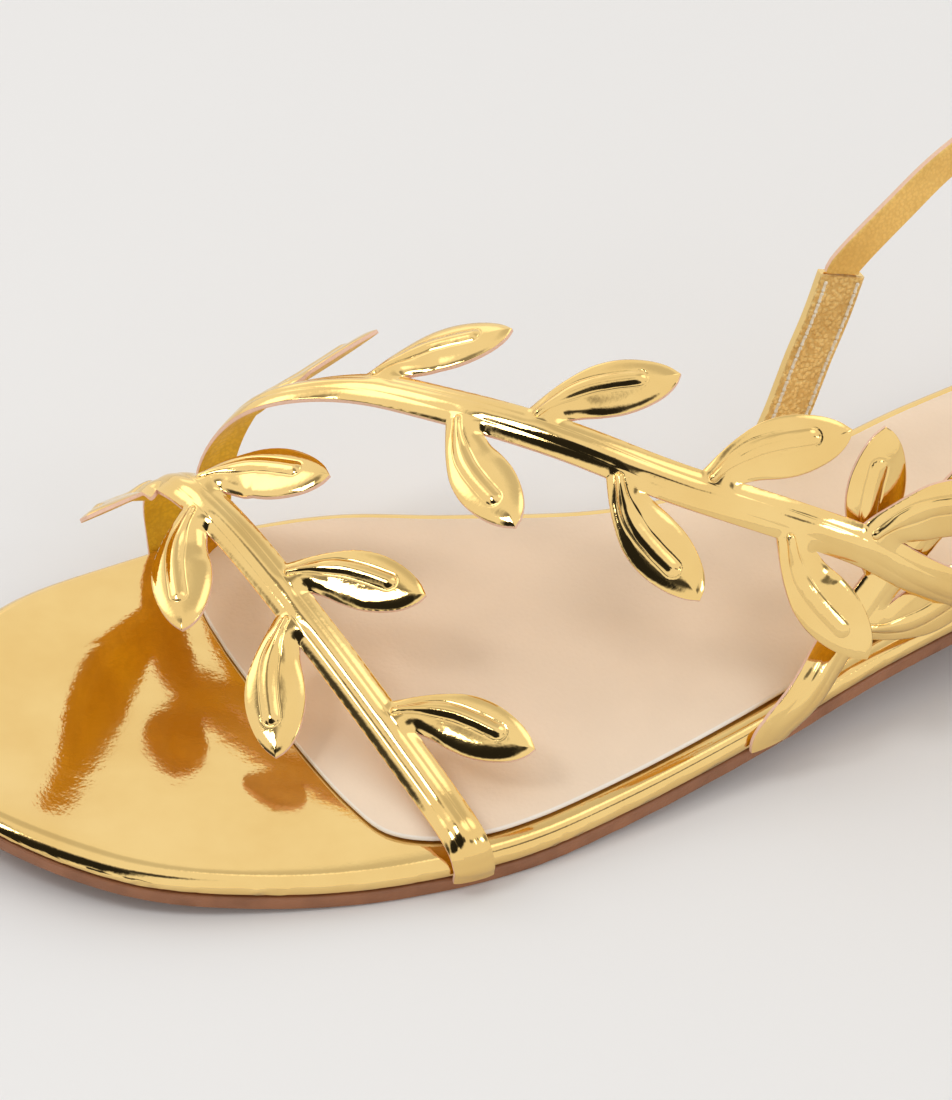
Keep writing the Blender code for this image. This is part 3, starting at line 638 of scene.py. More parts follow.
class Pattern:
    """Flat pattern of a stem with leaves, cut from one sheet.

    Every point has its place on the sheet (u, v), the path length it is bent at, its
    lift, its distance to the cut edge and its distance to the ribs in rib half widths.
    """

    STEP = 0.00029
    REACH = 0.0045

    def __init__(self, path, leaves, level_start, level_end):
        self.path = path
        self.half = STEM_WIDTH / 2
        self.skew = (
            path.end_skew(0) if level_start else 0.0,
            path.end_skew(1) if level_end else 0.0,
        )
        roots = [self.root_span(row) for row in leaves]
        self.stations = self.make_stations(roots)
        sheets = [self.stem_sheet()]
        outlines = [self.stem_outline(roots, leaves)]
        ribs = []
        for row, root in zip(leaves, roots):
            sheet, outline, rib = self.leaf_sheet(row, root)
            sheets.append(sheet)
            outlines.append(outline)
            ribs.append(rib)
        self.join_sheets(sheets)
        self.edge = nearest_distance(self.flat, np.vstack(outlines), self.REACH)
        corners = [(root[1], row[1] * self.half) for row, root in zip(leaves, roots)]
        self.corner = nearest_distance(self.flat, np.array(corners), self.REACH)
        self.stem_rib = np.abs(self.flat[:, 1]) / (RIB_WIDTH / 2)
        self.leaf_rib = self.rib_distance(ribs)

    def root_span(self, row):
        """Start and end of a leaf's root on the stem's edge."""
        start = row[0] * self.path.length
        return start, start + 2 * LEAF_ROOT * LEAF_LENGTH

    def make_stations(self, roots):
        """Rows of the stem: even steps between the ends of all roots."""
        fixed = np.unique(np.round(np.array([0.0, self.path.length, *np.ravel(roots)]), 9))
        spans = []
        for low, high in zip(fixed[:-1], fixed[1:]):
            count = max(1, int(np.ceil((high - low) / self.STEP)))
            spans.append(np.linspace(low, high, count, endpoint=False))
        spans.append(fixed[-1:])
        return np.concatenate(spans)

    def slant(self, u, v):
        """Length along the path of a stem point, with the level ends."""
        reach = 3.5 * self.half
        start = 1 - smooth(u / reach)
        end = 1 - smooth((self.path.length - u) / reach)
        return u + v * (start * self.skew[0] + end * self.skew[1])

    def stem_sheet(self):
        """Grid of the stem: stations along and close columns at the edges and the rib."""
        rib = RIB_WIDTH / 2
        right = np.concatenate([
            rib * np.array([0.0, 0.3, 0.58, 0.8, 0.93, 1.0, 1.1]),
            np.linspace(rib * 1.3, self.half - 0.0012, 3),
            self.half - np.array([0.0009, 0.0006, 0.0003, 0.00012, 0.0]),
        ])
        across = np.concatenate([-right[:0:-1], right])
        v, u = np.meshgrid(across, self.stations)
        flat = np.stack([u.ravel(), v.ravel()], axis=-1)
        bent = self.slant(flat[:, 0], flat[:, 1])
        placed = np.stack([bent, flat[:, 1], bent, np.zeros(len(bent))], axis=-1)
        return flat, placed, grid_triangles(len(self.stations), len(across))

    def stem_outline(self, roots, leaves):
        """Samples of the stem's two edges, left open at the roots."""
        u = np.arange(0.0, self.path.length, 0.0001)
        parts = []
        for side in (-1, 1):
            kept = np.ones(len(u), bool)
            for (start, end), row in zip(roots, leaves):
                if row[1] == side:
                    kept &= (u < start) | (u > end)
            parts.append(np.stack([u[kept], np.full(kept.sum(), side * self.half)], axis=-1))
        return np.vstack(parts)

    def leaf_sheet(self, row, root):
        """Grid of a leaf: lines across it from its outer to its inner edge, whose curves
        run from the ends of the root through the outline's points to the tip."""
        _, side, angle, lift = row
        turn = math.radians(angle)
        axis = np.array([math.cos(turn), side * math.sin(turn)])
        out = np.array([-math.sin(turn), side * math.cos(turn)])
        middle = np.array([(root[0] + root[1]) / 2, side * self.half])

        def place(shares):
            shares = np.asarray(shares)
            return middle + LEAF_LENGTH * (shares[:, :1] * axis + shares[:, 1:] * out)

        edges = np.array(LEAF_EDGES)
        tip = np.array([[1.0, 0.0]])
        corner = [np.array([[end, side * self.half]]) for end in root]
        outer = spline(np.vstack([corner[0], place(edges[:, :2]), place(tip)]), 9)
        inner = spline(np.vstack([corner[1], place(edges[:, 2:]), place(tip)]), 9)
        within = (self.stations > root[0] - 1e-8) & (self.stations < root[1] + 1e-8)
        station = self.stations[within]
        share = (station - root[0]) / (root[1] - root[0])
        close = 0.35 * share + 0.65 * (0.5 - 0.5 * np.cos(np.pi * share))
        leave = smooth(np.arange(len(outer)) / 12.0)[:, None]
        part = share[None] + leave * (close - share)[None]
        lines = outer[:, None] + part[:, :, None] * (inner - outer)[:, None]
        lines[0, :, 0] = station
        lines[0, :, 1] = side * self.half
        flat = lines.reshape(-1, 2)
        beyond = np.clip(side * flat[:, 1] - self.half, 0.0, None)
        past = np.clip(np.abs(flat[:, 0] - middle[0]) - LEAF_ROOT * LEAF_LENGTH, 0.0, None)
        settle = smooth(np.hypot(beyond, past) / ROOT_SETTLES_OVER)
        at = flat[:, 0] + (middle[0] - flat[:, 0]) * settle
        slanted = self.slant(flat[:, 0], flat[:, 1]) - flat[:, 0]
        shift = slanted * (1 - settle)
        raised = lift * beyond * LIFT_PER_LENGTH
        placed = np.stack([flat[:, 0] + shift, flat[:, 1], at + shift, raised], axis=-1)
        triangles = grid_triangles(len(outer), len(share))
        if side < 0:
            triangles = triangles[:, ::-1]
        dense = [spline(curve[::3], 40) for curve in (outer, inner)]
        rib = spline(place(MIDRIB), 30)
        return (flat, placed, triangles), np.vstack(dense), rib

    def join_sheets(self, sheets):
        """Joins the stem and leaves at the shared root points, faces turned outwards."""
        starts = np.cumsum([0] + [len(sheet[0]) for sheet in sheets[:-1]])
        flat = np.vstack([sheet[0] for sheet in sheets])
        placed = np.vstack([sheet[1] for sheet in sheets])
        triangles = np.vstack([sheet[2] + s for sheet, s in zip(sheets, starts)])
        first, triangles = weld(flat, triangles)
        self.flat = flat[first]
        self.placed = placed[first]
        a, b, c = (self.flat[triangles[:, k]] for k in range(3))
        turn = (b - a)[:, 0] * (c - a)[:, 1] - (b - a)[:, 1] * (c - a)[:, 0]
        kept = np.abs(turn) > 1e-14
        flip = turn[kept] < 0
        triangles = triangles[kept]
        triangles[flip] = triangles[flip][:, ::-1]
        self.triangles = triangles

    def rib_distance(self, ribs):
        """Distance to the nearest midrib in half widths; a midrib is narrow at its root
        and widest before its rounded end."""
        distance = np.full(len(self.flat), 6.0)
        for rib in ribs:
            near = np.abs(self.flat[:, 0] - rib[:, 0].mean()) < LEAF_LENGTH
            gaps = np.linalg.norm(self.flat[near][:, None] - rib[None], axis=2)
            along = np.linspace(0.0, 1.0, len(rib))
            half = MIDRIB_WIDTH / 2 * (0.5 + 0.5 * smooth(along / 0.5))
            distance[near] = np.minimum(distance[near], (gaps / half).min(axis=1))
        return distance

    def lay(self, raised):
        """The pattern's points in space at heights off the strap's inner face."""
        u, v, at, lift = self.placed.T
        return self.path.lay(u, v, at, lift + raised)


def make_branch(name, path, leaves, level_start, level_end, straps, materials, node=None):
    """Embossed branch: from the cut edge the leather rises as one less an exponential of
    the distance and as a parabola over the dome's width, and ribs stand on it as one less
    the squared distance, to a power. Ends tucked under the board are nearly flat."""
    pattern = Pattern(path, leaves, level_start, level_end)
    notch = NOTCH_FILL * np.exp(-(pattern.corner / NOTCH_REACH) ** 2)
    edge = (pattern.edge ** 2 + notch ** 2) ** 0.5
    border = 1 - np.exp(-edge / straps.border_width)
    dome = 1 - np.clip(1 - edge / straps.dome_width, 0.0, 1.0) ** 2
    end = np.minimum(pattern.flat[:, 0], path.length - pattern.flat[:, 0] * level_end)
    full = smooth(end / straps.flat_end)
    leafy = smooth((np.abs(pattern.flat[:, 1]) - pattern.half) / LEAF_FLATTENS_OVER)
    domed = (0.15 + 0.85 * full) * (1 - straps.leaf_flatness * leafy)
    fill = straps.border_rise * border + straps.dome_rise * dome * domed
    stem = straps.stem_rib_rise * np.clip(1 - pattern.stem_rib ** 2, 0.0, 1.0) ** 1.5 * full
    leaf = straps.midrib_rise * np.clip(1 - pattern.leaf_rib ** 2, 0.0, 1.0) ** 1.2
    ribs = np.maximum(stem, leaf) * smooth(pattern.edge / RIB_FADE)
    relief = straps.cut_thickness + fill + ribs
    hollow = 0.35 * fill * border + 0.4 * ribs
    points, faces, part = thick_sheet(
        pattern.lay(relief), pattern.lay(hollow), pattern.triangles
    )
    values = {
        "midrib": np.tile(pattern.leaf_rib, 2),
        "stem_rib": np.tile(np.clip(pattern.stem_rib, 0.0, 6.0), 2),
        "depth": np.repeat([1.0, 0.0], len(relief)),
    }
    made = make_piece(name, points, faces, materials, part, values, 62)
    if node:
        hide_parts(node)
    return made


# Bands, wires and slabs

def band_section(width, thick, edge_round):
    """Closed cross-section of a band, from its inner face round its edges: a super-ellipse
    corner on each side. Returns across and height for each point."""
    turn = np.linspace(0.0, 0.5 * np.pi, 6)
    flat = np.linspace(-1.0, 1.0, 11)[1:-1] * (width / 2 - edge_round)
    corner_v = width / 2 - edge_round + edge_round * np.sin(turn)
    corner_h = edge_round * (1 - np.cos(turn))
    right = np.stack([corner_v, corner_h], axis=-1)
    left = np.stack([-corner_v[::-1], corner_h[::-1]], axis=-1)
    top = np.stack([-flat, np.full(len(flat), thick)], axis=-1)
    low = np.stack([flat, np.zeros(len(flat))], axis=-1)
    high_right = np.stack([corner_v[::-1], thick - corner_h[::-1]], axis=-1)
    high_left = np.stack([-corner_v, thick - corner_h], axis=-1)
    return np.vstack([low, right, high_right, top, high_left, left])


def make_band(name, path, section, materials, start_skew, tip_round, pick):
    """Band along a path: the section carried along it, and where a tip round is given, its
    width runs out at the end as a quarter circle.

    pick gives the material number of a section place from its across and height.
    """
    count = int(path.length / BAND_STEP)
    u = np.linspace(0.0, path.length, count + 1)
    if tip_round:
        near = path.length - tip_round * (1 - np.sin(np.linspace(0.0, 0.5 * np.pi, 14)))
        u = np.concatenate([u[u < path.length - tip_round], near])
    left = (path.length - u) / tip_round if tip_round else np.ones(len(u))
    narrow = np.sqrt(np.clip(1 - (1 - np.clip(left, 0.0, 1.0)) ** 2, 0.0, 1.0))
    across = np.outer(narrow, section[:, 0])
    height = np.tile(section[:, 1], (len(u), 1))
    slant = start_skew * (1 - smooth(u / (3.5 * section[:, 0].max())))
    along = u[:, None] + across * slant[:, None]
    points = path.lay(along.ravel(), across.ravel(), along.ravel(), height.ravel())
    ring = len(section)
    depth = height.ravel() / section[:, 1].max()
    body = grid_triangles(len(u), ring)
    i = np.arange(len(u) - 1) * ring
    close = np.vstack([
        np.stack([i + ring - 1, i + 2 * ring - 1, i + ring], axis=-1),
        np.stack([i + ring - 1, i + ring, i], axis=-1),
    ])
    j = np.arange(ring)
    k = (j + 1) % ring
    last = (len(u) - 1) * ring
    caps = [np.stack([np.full(ring, len(points)), j, k], axis=-1)]
    centres = [points[:ring].mean(axis=0)]
    if not tip_round:
        caps.append(np.stack([np.full(ring, len(points) + 1), last + k, last + j], axis=-1))
        centres.append(points[-ring:].mean(axis=0))
    points = np.vstack([points, *centres])
    depth = np.concatenate([depth, np.full(len(centres), 0.5)])
    spots = np.concatenate([np.tile(pick(section), len(u)), np.zeros(len(centres), int)])
    first, welded = weld(points, np.vstack([body, close, *caps]))
    points = points[first]
    part = spots[first][welded].max(axis=1)
    return make_piece(
        name, points, outward(points, welded), materials, part, {"depth": depth[first]}, 40
    )


def outward(points, triangles):
    """Turns a closed surface's triangles over if its volume comes out negative."""
    a, b, c = (points[triangles[:, k]] for k in range(3))
    volume = (np.cross(a, b) * c).sum()
    return triangles if volume > 0 else triangles[:, ::-1]


def tube(points, radius, sides=14, closed=False):
    """Round wire along points: circles square to the curve, set out from the normal of
    the plane that the points lie in, with domed ends where it is open."""
    points = np.asarray(points)
    if closed:
        tangent = np.roll(points, -1, axis=0) - np.roll(points, 1, axis=0)
    else:
        tangent = np.gradient(points, axis=0)
    tangent /= np.linalg.norm(tangent, axis=1)[:, None]
    flat = np.linalg.svd(points - points.mean(axis=0))[2][2]
    side = np.tile(flat, (len(points), 1))
    side -= (side * tangent).sum(axis=1)[:, None] * tangent
    side /= np.linalg.norm(side, axis=1)[:, None]
    other = np.cross(tangent, side)
    turn = np.linspace(0.0, 2 * np.pi, sides + 1)
    ring = (np.cos(turn)[None, :, None] * side[:, None]
            + np.sin(turn)[None, :, None] * other[:, None])
    surface = points[:, None] + radius * ring
    if closed:
        surface = np.vstack([surface, surface[:1]])
    else:
        for end, way in ((0, -1.0), (-1, 1.0)):
            cap = np.array([
                points[end] + radius * (math.cos(a) * ring[end] + way * math.sin(a) * tangent[end])
                for a in (0.4, 0.8, 1.2, 0.5 * math.pi)
            ])
            surface = np.vstack([cap[::-1], surface]) if end == 0 else np.vstack([surface, cap])
    rows = len(surface)
    flat_points = surface.reshape(-1, 3)
    faces = grid_triangles(rows, sides + 1)
    first, faces = weld(flat_points, faces, 1e-7)
    flat_points = flat_points[first]
    return flat_points, outward(flat_points, faces)


def make_slab(name, outer, inner, edge_steps, top, bottom, materials, rows=220, pole=True,
              dish=0.0):
    """Flat body between two halves of an outline that start at the heel.

    Rows join the halves at equal shares of their length; columns lie at set distances
    from both edges; top and bottom give the heights from x and the edge distance.
    The dish is stored for shading: a slope towards the inner side that eases off there.
    """
    share = 0.5 - 0.5 * np.cos(np.pi * np.linspace(0.0, 1.0, rows))
    left = read_at(arc_lengths(outer), outer, share * arc_lengths(outer)[-1])
    right = read_at(arc_lengths(inner), inner, share * arc_lengths(inner)[-1])
    wide = np.linalg.norm(right - left, axis=1)[:, None]
    steps = np.asarray(edge_steps)[None, :]
    limit = 0.48 * wide * steps / steps.max()
    near = np.where(0.48 * wide < steps.max(), limit, steps + 0.0 * wide)
    inner_cols = np.linspace(0.0, 1.0, 12)[1:-1][None, :]
    gap = wide - 2 * near[:, -1:]
    across = np.hstack([near, near[:, -1:] + gap * inner_cols, wide - near[:, ::-1]])
    part = across / np.maximum(wide, 1e-9)
    flat = left[:, None] + part[:, :, None] * (right - left)[:, None]
    columns = flat.shape[1]
    flat = flat.reshape(-1, 2)
    samples = [outer, inner]
    if not pole:
        samples.append(outer[-1] + np.linspace(0, 1, 200)[:, None] * (inner[-1] - outer[-1]))
    dense = np.vstack([read_at(arc_lengths(s), s, np.arange(0, arc_lengths(s)[-1], 0.00015))
                       for s in samples])
    edge = nearest_distance(flat, dense, EDGE_TABLE_REACH)
    x, y = flat.T
    upper = np.column_stack([flat, top(x, edge)])
    lower = np.column_stack([flat, bottom(x, edge)])
    sheet = grid_triangles(rows, columns)
    first, sheet = weld(flat, sheet, 1e-7)
    points, faces, _ = thick_sheet(upper[first], lower[first], sheet)
    share = np.minimum(across_share(x, y), 0.5)
    made = make_piece(
        name, points, outward(points, faces), materials, None,
        {
            "edge": np.tile(edge[first], 2),
            "dish": np.tile(dish * (0.6 * share ** 2 - share)[first], 2),
        }, 48,
    )
    return made


def across_share(x, y):
    """Share across the outline, -1 at its outer and 1 at its inner side."""
    low = np.interp(-x, -OUTER_RIM[:, 0], OUTER_RIM[:, 1])
    high = np.interp(-x, -INNER_RIM[:, 0], INNER_RIM[:, 1])
    return np.clip((2 * y - low - high) / np.maximum(high - low, 1e-6), -1.0, 1.0)


def round_steps(radius, far):
    """Distances from an edge that space a quarter round evenly, and a few beyond it."""
    turn = np.linspace(0.0, 0.5 * np.pi, 10)
    return np.concatenate([radius * (1 - np.cos(turn)), radius + far * np.array([0.3, 0.65, 1.0])])


def quarter(edge, radius):
    """Drop of a quarter round of the radius at a distance from the edge."""
    t = np.clip(edge / radius, 0.0, 1.0)
    return radius * (1 - np.sqrt(np.clip(1 - (1 - t) ** 2, 0.0, 1.0)))


# Shader groups and materials

class Shader:
    """Small helper that lays out the nodes of a material or a group."""

    def __init__(self, tree):
        self.tree = tree
        self.nodes = tree.nodes
        self.count = 0

    def node(self, kind, **settings):
        """Adds a node with its settings."""
        made = self.nodes.new(kind)
        made.location = (220 * (self.count % 7) - 900, -190 * (self.count // 7))
        self.count += 1
        for key, value in settings.items():
            setattr(made, key, value)
        return made

    def link(self, source, target):
        """Joins an output to an input."""
        self.tree.links.new(source, target)

    def put(self, socket, value):
        """Sets an input to a number or colour, or links it to an output."""
        if isinstance(value, bpy.types.NodeSocket):
            self.link(value, socket)
        else:
            socket.default_value = value

    def math(self, operation, a, b=0.0, c=0.0):
        """Math node on up to three values."""
        made = self.node("ShaderNodeMath", operation=operation)
        for socket, value in zip(made.inputs, (a, b, c)):
            self.put(socket, value)
        return made.outputs[0]

    def ramp(self, value, low, high, to_low=0.0, to_high=1.0):
        """Smooth step of a value between two marks."""
        made = self.node("ShaderNodeMapRange", interpolation_type="SMOOTHSTEP")
        for socket, item in zip(made.inputs, (value, low, high, to_low, to_high)):
            self.put(socket, item)
        return made.outputs[0]

    def mix(self, factor, a, b):
        """Mix of two colours."""
        made = self.node("ShaderNodeMix", data_type="RGBA")
        self.put(made.inputs[0], factor)
        self.put(made.inputs[6], a)
        self.put(made.inputs[7], b)
        return made.outputs[2]

    def noise(self, scale, detail=3.0, roughness=0.5):
        """Noise on Object coordinates, scale in waves per metre."""
        place = self.node("ShaderNodeTexCoord")
        made = self.node("ShaderNodeTexNoise")
        self.link(place.outputs["Object"], made.inputs["Vector"])
        self.put(made.inputs["Scale"], scale)
        made.inputs["Detail"].default_value = detail
        made.inputs["Roughness"].default_value = roughness
        return made.outputs["Fac"]

    def value(self, name):
        """A value stored at the mesh's points."""
        return self.node("ShaderNodeAttribute", attribute_name=name).outputs["Fac"]


def new_group(name, inputs, outputs):
    """Empty shader group with float inputs and outputs."""
    tree = bpy.data.node_groups.new(name, "ShaderNodeTree")
    for label, default in inputs:
        socket = tree.interface.new_socket(label, in_out="INPUT", socket_type="NodeSocketFloat")
        socket.default_value = default
    for label, kind in outputs:
        tree.interface.new_socket(label, in_out="OUTPUT", socket_type=kind)
    shader = Shader(tree)
    return shader, shader.node("NodeGroupInput"), shader.node("NodeGroupOutput")


def leather_grain_group():
    """Height of leather grain: cells with soft valleys, broken up by noise."""
    shader, given, out = new_group(
        "Leather grain",
        (("Scale", 1800.0), ("Depth", 0.00003), ("Evenness", 0.5)),
        (("Height", "NodeSocketFloat"), ("Valleys", "NodeSocketFloat")),
    )
    place = shader.node("ShaderNodeTexCoord")
    cells = shader.node("ShaderNodeTexVoronoi", feature="F1")
    shader.link(place.outputs["Object"], cells.inputs["Vector"])
    shader.link(given.outputs["Scale"], cells.inputs["Scale"])
    valleys = shader.ramp(cells.outputs["Distance"], 0.25, 0.75)
    rough = shader.noise(given.outputs["Scale"], 2.0, 0.6)
    mixed = shader.math("ADD", shader.math("MULTIPLY", valleys, given.outputs["Evenness"]), rough)
    height = shader.math("MULTIPLY", mixed, given.outputs["Depth"])
    shader.link(shader.math("MULTIPLY", height, -1.0), out.inputs["Height"])
    shader.link(valleys, out.inputs["Valleys"])
    return shader.tree


def handling_group():
    """Cloudy mask of handling and soft pressure marks, from broad to narrow."""
    shader, given, out = new_group(
        "Handling marks",
        (("Scale", 60.0), ("Sharpness", 0.15)),
        (("Mask", "NodeSocketFloat"),),
    )
    cloud = shader.noise(given.outputs["Scale"], 3.0, 0.55)
    low = shader.math("SUBTRACT", 0.5, given.outputs["Sharpness"])
    high = shader.math("ADD", 0.5, given.outputs["Sharpness"])
    shader.link(shader.ramp(cloud, low, high), out.inputs["Mask"])
    return shader.tree


def use_group(shader, group, **values):
    """Places a shared group in a material with its own values."""
    made = shader.node("ShaderNodeGroup", node_tree=group)
    for key, value in values.items():
        made.inputs[key].default_value = value
    return made.outputs


def new_material(name, metallic=0.0, **settings):
    """Material with a Principled shader. Returns it with its shader helper and shader."""
    material = bpy.data.materials.new(name)
    material.use_nodes = True
    shader = Shader(material.node_tree)
    surface = material.node_tree.nodes["Principled BSDF"]
    surface.inputs["Metallic"].default_value = metallic
    for key, value in settings.items():
        surface.inputs[key.replace("_", " ").title()].default_value = value
    return material, shader, surface


def bump(shader, surface, height):
    """Bump of a height in metres, into the surface's normal."""
    made = shader.node("ShaderNodeBump")
    made.inputs["Strength"].default_value = 1.0
    made.inputs["Distance"].default_value = 1.0
    shader.link(height, made.inputs["Height"])
    shader.link(made.outputs["Normal"], surface.inputs["Normal"])


def finish_colour(shader, surface, group, base, shade, scale, sharpness=0.2):
    """Base colour that clouds between two tones."""
    mask = use_group(shader, group, Scale=scale, Sharpness=sharpness)["Mask"]
    shader.link(shader.mix(mask, base, shade), surface.inputs["Base Color"])
    return mask


def foil_material(name, look, groups, embossed):
    """Mirror foil on leather: a bright metal with fine grain, and a pressed crease at the
    border of every rib."""
    grain, marks = groups
    material, shader, surface = new_material(name, 1.0)
    base = look.foil_colour
    shade = [0.93 * base[0], 0.88 * base[1], 0.80 * base[2], 1.0]
    mask = finish_colour(shader, surface, marks, base, shade, 70.0, 0.3)
    rough = shader.math("MULTIPLY_ADD", mask, 0.05, look.foil_roughness)
    shader.link(rough, surface.inputs["Roughness"])
    height = use_group(shader, grain, Scale=1500.0, Depth=0.0000045)["Height"]
    wave = shader.math("MULTIPLY", shader.noise(190.0, 2.0), 0.00005 if embossed else 0.00003)
    height = shader.math("ADD", height, wave)
    if embossed:
        for label, depth in CREASES:
            away = shader.math("SUBTRACT", shader.value(label), CREASE_AT)
            near = shader.math("MULTIPLY", away, 6.0)
            square = shader.math("MULTIPLY", near, near)
            crease = shader.math("POWER", 2.718, shader.math("MULTIPLY", square, -1.0))
            height = shader.math("SUBTRACT", height, shader.math("MULTIPLY", crease, depth))
    else:
        height = shader.math("ADD", height, shader.value("dish"))
    bump(shader, surface, height)
    return material


def lining_material(name, base, shade, groups, scale, depth, metallic, roughness, valley):
    """Grained lining leather with clouded colour, darker in the grain's valleys."""
    grain, marks = groups
    material, shader, surface = new_material(name, metallic)
    mask = use_group(shader, marks, Scale=90.0, Sharpness=0.2)["Mask"]
    pebble = use_group(shader, grain, Scale=scale, Depth=depth)
    dark = [0.72 * shade[0], 0.64 * shade[1], 0.5 * shade[2], 1.0]
    pits = shader.math("MULTIPLY", pebble["Valleys"], valley)
    shader.link(
        shader.mix(pits, shader.mix(mask, base, shade), dark), surface.inputs["Base Color"]
    )
    rough = shader.math("MULTIPLY_ADD", mask, 0.12, roughness)
    shader.link(rough, surface.inputs["Roughness"])
    bump(shader, surface, pebble["Height"])
    return material


def edge_material(name, base, core, groups):
    """Raw cut edge of leather: fibrous, paler in the middle of its thickness."""
    material, shader, surface = new_material(name, 0.0, roughness=0.75)
    fibre = shader.noise(2600.0, 3.0)
    middle = shader.math("ABSOLUTE", shader.math("SUBTRACT", shader.value("depth"), 0.5))
    pale = shader.ramp(middle, 0.5, 0.2)
    pale = shader.math("MULTIPLY", pale, fibre)
    shader.link(shader.mix(pale, base, core), surface.inputs["Base Color"])
    bump(shader, surface, use_group(shader, groups[0], Scale=2400.0, Depth=0.00005)["Height"])
    return material


def sock_material(name, look, groups):
    """Soft smooth sock leather with a paler skived edge."""
    grain, marks = groups
    material, shader, surface = new_material(name, 0.0, roughness=0.55)
    shade = [0.93 * c for c in look.sock_colour[:3]] + [1.0]
    mask = use_group(shader, marks, Scale=45.0, Sharpness=0.25)["Mask"]
    body = shader.mix(mask, look.sock_colour, shade)
    rim_mask = shader.ramp(shader.value("edge"), 0.0004, 0.0002)
    shader.link(shader.mix(rim_mask, body, look.skived_colour), surface.inputs["Base Color"])
    bump(shader, surface, use_group(shader, grain, Scale=1300.0, Depth=0.00003)["Height"])
    return material


def sole_material(name, look, groups):
    """Smooth brown sole leather with fine grain along its edge."""
    grain, marks = groups
    material, shader, surface = new_material(name, 0.0)
    shade = [0.72 * c for c in look.sole_colour[:3]] + [1.0]
    mask = finish_colour(shader, surface, marks, look.sole_colour, shade, 120.0)
    rough = shader.math("MULTIPLY_ADD", mask, 0.15, 0.38)
    shader.link(rough, surface.inputs["Roughness"])
    bump(shader, surface, use_group(shader, grain, Scale=1600.0, Depth=0.00004)["Height"])
    return material


def metal_material(name, look, groups):
    """Polished plated metal with faint fine scratches."""
    material, shader, surface = new_material(name, 1.0)
    shade = [0.9 * c for c in look.metal_colour[:3]] + [1.0]
    finish_colour(shader, surface, groups[1], look.metal_colour, shade, 300.0)
    rough = shader.math("MULTIPLY_ADD", shader.noise(3000.0, 2.0), 0.12, 0.08)
    shader.link(rough, surface.inputs["Roughness"])
    return material


def thread_material(name, look):
    """Twisted thread: slanting bands along the stitch."""
    material, shader, surface = new_material(name, 0.0, roughness=0.6)
    twist = shader.noise(4000.0, 2.0)
    dark = [0.7 * c for c in look.thread_colour[:3]] + [1.0]
    shader.link(shader.mix(twist, dark, look.thread_colour), surface.inputs["Base Color"])
    bump(shader, surface, shader.math("MULTIPLY", twist, 0.00006))
    return material


MATERIALS = {}


def make_materials(look):
    """All materials of the sandal, once."""
    groups = (leather_grain_group(), handling_group())
    MATERIALS["foil"] = foil_material("mirror_gold_foil", look, groups, True)
    MATERIALS["board"] = foil_material("mirror_gold_board", look, groups, False)
    ochre = look.ochre_colour
    dull = [0.8 * ochre[0], 0.74 * ochre[1], 0.6 * ochre[2], 1.0]
    MATERIALS["ochre"] = lining_material(
        "ochre_lining", ochre, dull, groups, 1500.0, 0.00005, 0.0, 0.42, 0.3
    )
    tan = look.tan_colour
    deep = [0.78 * tan[0], 0.72 * tan[1], 0.62 * tan[2], 1.0]
    MATERIALS["tan"] = lining_material(
        "pebbled_tan_gold", tan, deep, groups, 1250.0, 0.00030, 0.55, 0.34, 0.5
    )
    inside = look.ankle_colour
    deep = [0.84 * inside[0], 0.80 * inside[1], 0.70 * inside[2], 1.0]
    MATERIALS["ankle"] = lining_material(
        "ankle_lining", inside, deep, groups, 1700.0, 0.00010, 0.35, 0.38, 0.25
    )
    MATERIALS["edge"] = edge_material("raw_edge", look.edge_colour, look.core_colour, groups)
    MATERIALS["sock"] = sock_material("beige_sock", look, groups)
    MATERIALS["sole"] = sole_material("brown_sole", look, groups)
    MATERIALS["metal"] = metal_material("plated_metal", look, groups)
    MATERIALS["thread"] = thread_material("pale_thread", look)


# Add-on settings

def length_setting(name, description, default):
    """A length in metres."""
    return FloatProperty(
        name=name, description=description, default=default, min=0.0, precision=5,
        subtype="DISTANCE", unit="LENGTH",
    )


def colour_setting(name, description, default):
    """A colour with alpha."""
    return FloatVectorProperty(
        name=name, description=description, default=default, size=4, min=0.0, max=1.0,
        subtype="COLOR",
    )


class SANDAL_PG_straps(PropertyGroup):
    """Relief of the branch straps."""

    cut_thickness: length_setting("Cut thickness", "Thickness at the cut edge", 0.0006)
    border_width: length_setting("Border width", "Reach of the steep border", 0.0007)
    border_rise: length_setting("Border rise", "Rise of the steep border", 0.00028)
    dome_width: length_setting("Dome width", "Reach of the dome from the edge", 0.0035)
    dome_rise: length_setting("Dome rise", "Rise of the dome", 0.00085)
    leaf_flatness: FloatProperty(
        name="Leaf flatness", description="How much flatter the leaves' dome is than the stem's",
        default=0.5, min=0.0, max=1.0, subtype="FACTOR",
    )
    midrib_rise: length_setting("Midrib rise", "Height of the leaves' midribs", 0.00045)
    stem_rib_rise: length_setting("Stem rib rise", "Height of the stem's rib", 0.00016)
    flat_end: length_setting("Flat end", "Length over which a tucked end flattens", 0.010)
    stitch_pitch: length_setting("Stitch pitch", "Length of one stitch with its gap", 0.0021)
    thread_radius: length_setting("Thread radius", "Half the thickness of the thread", 0.00034)


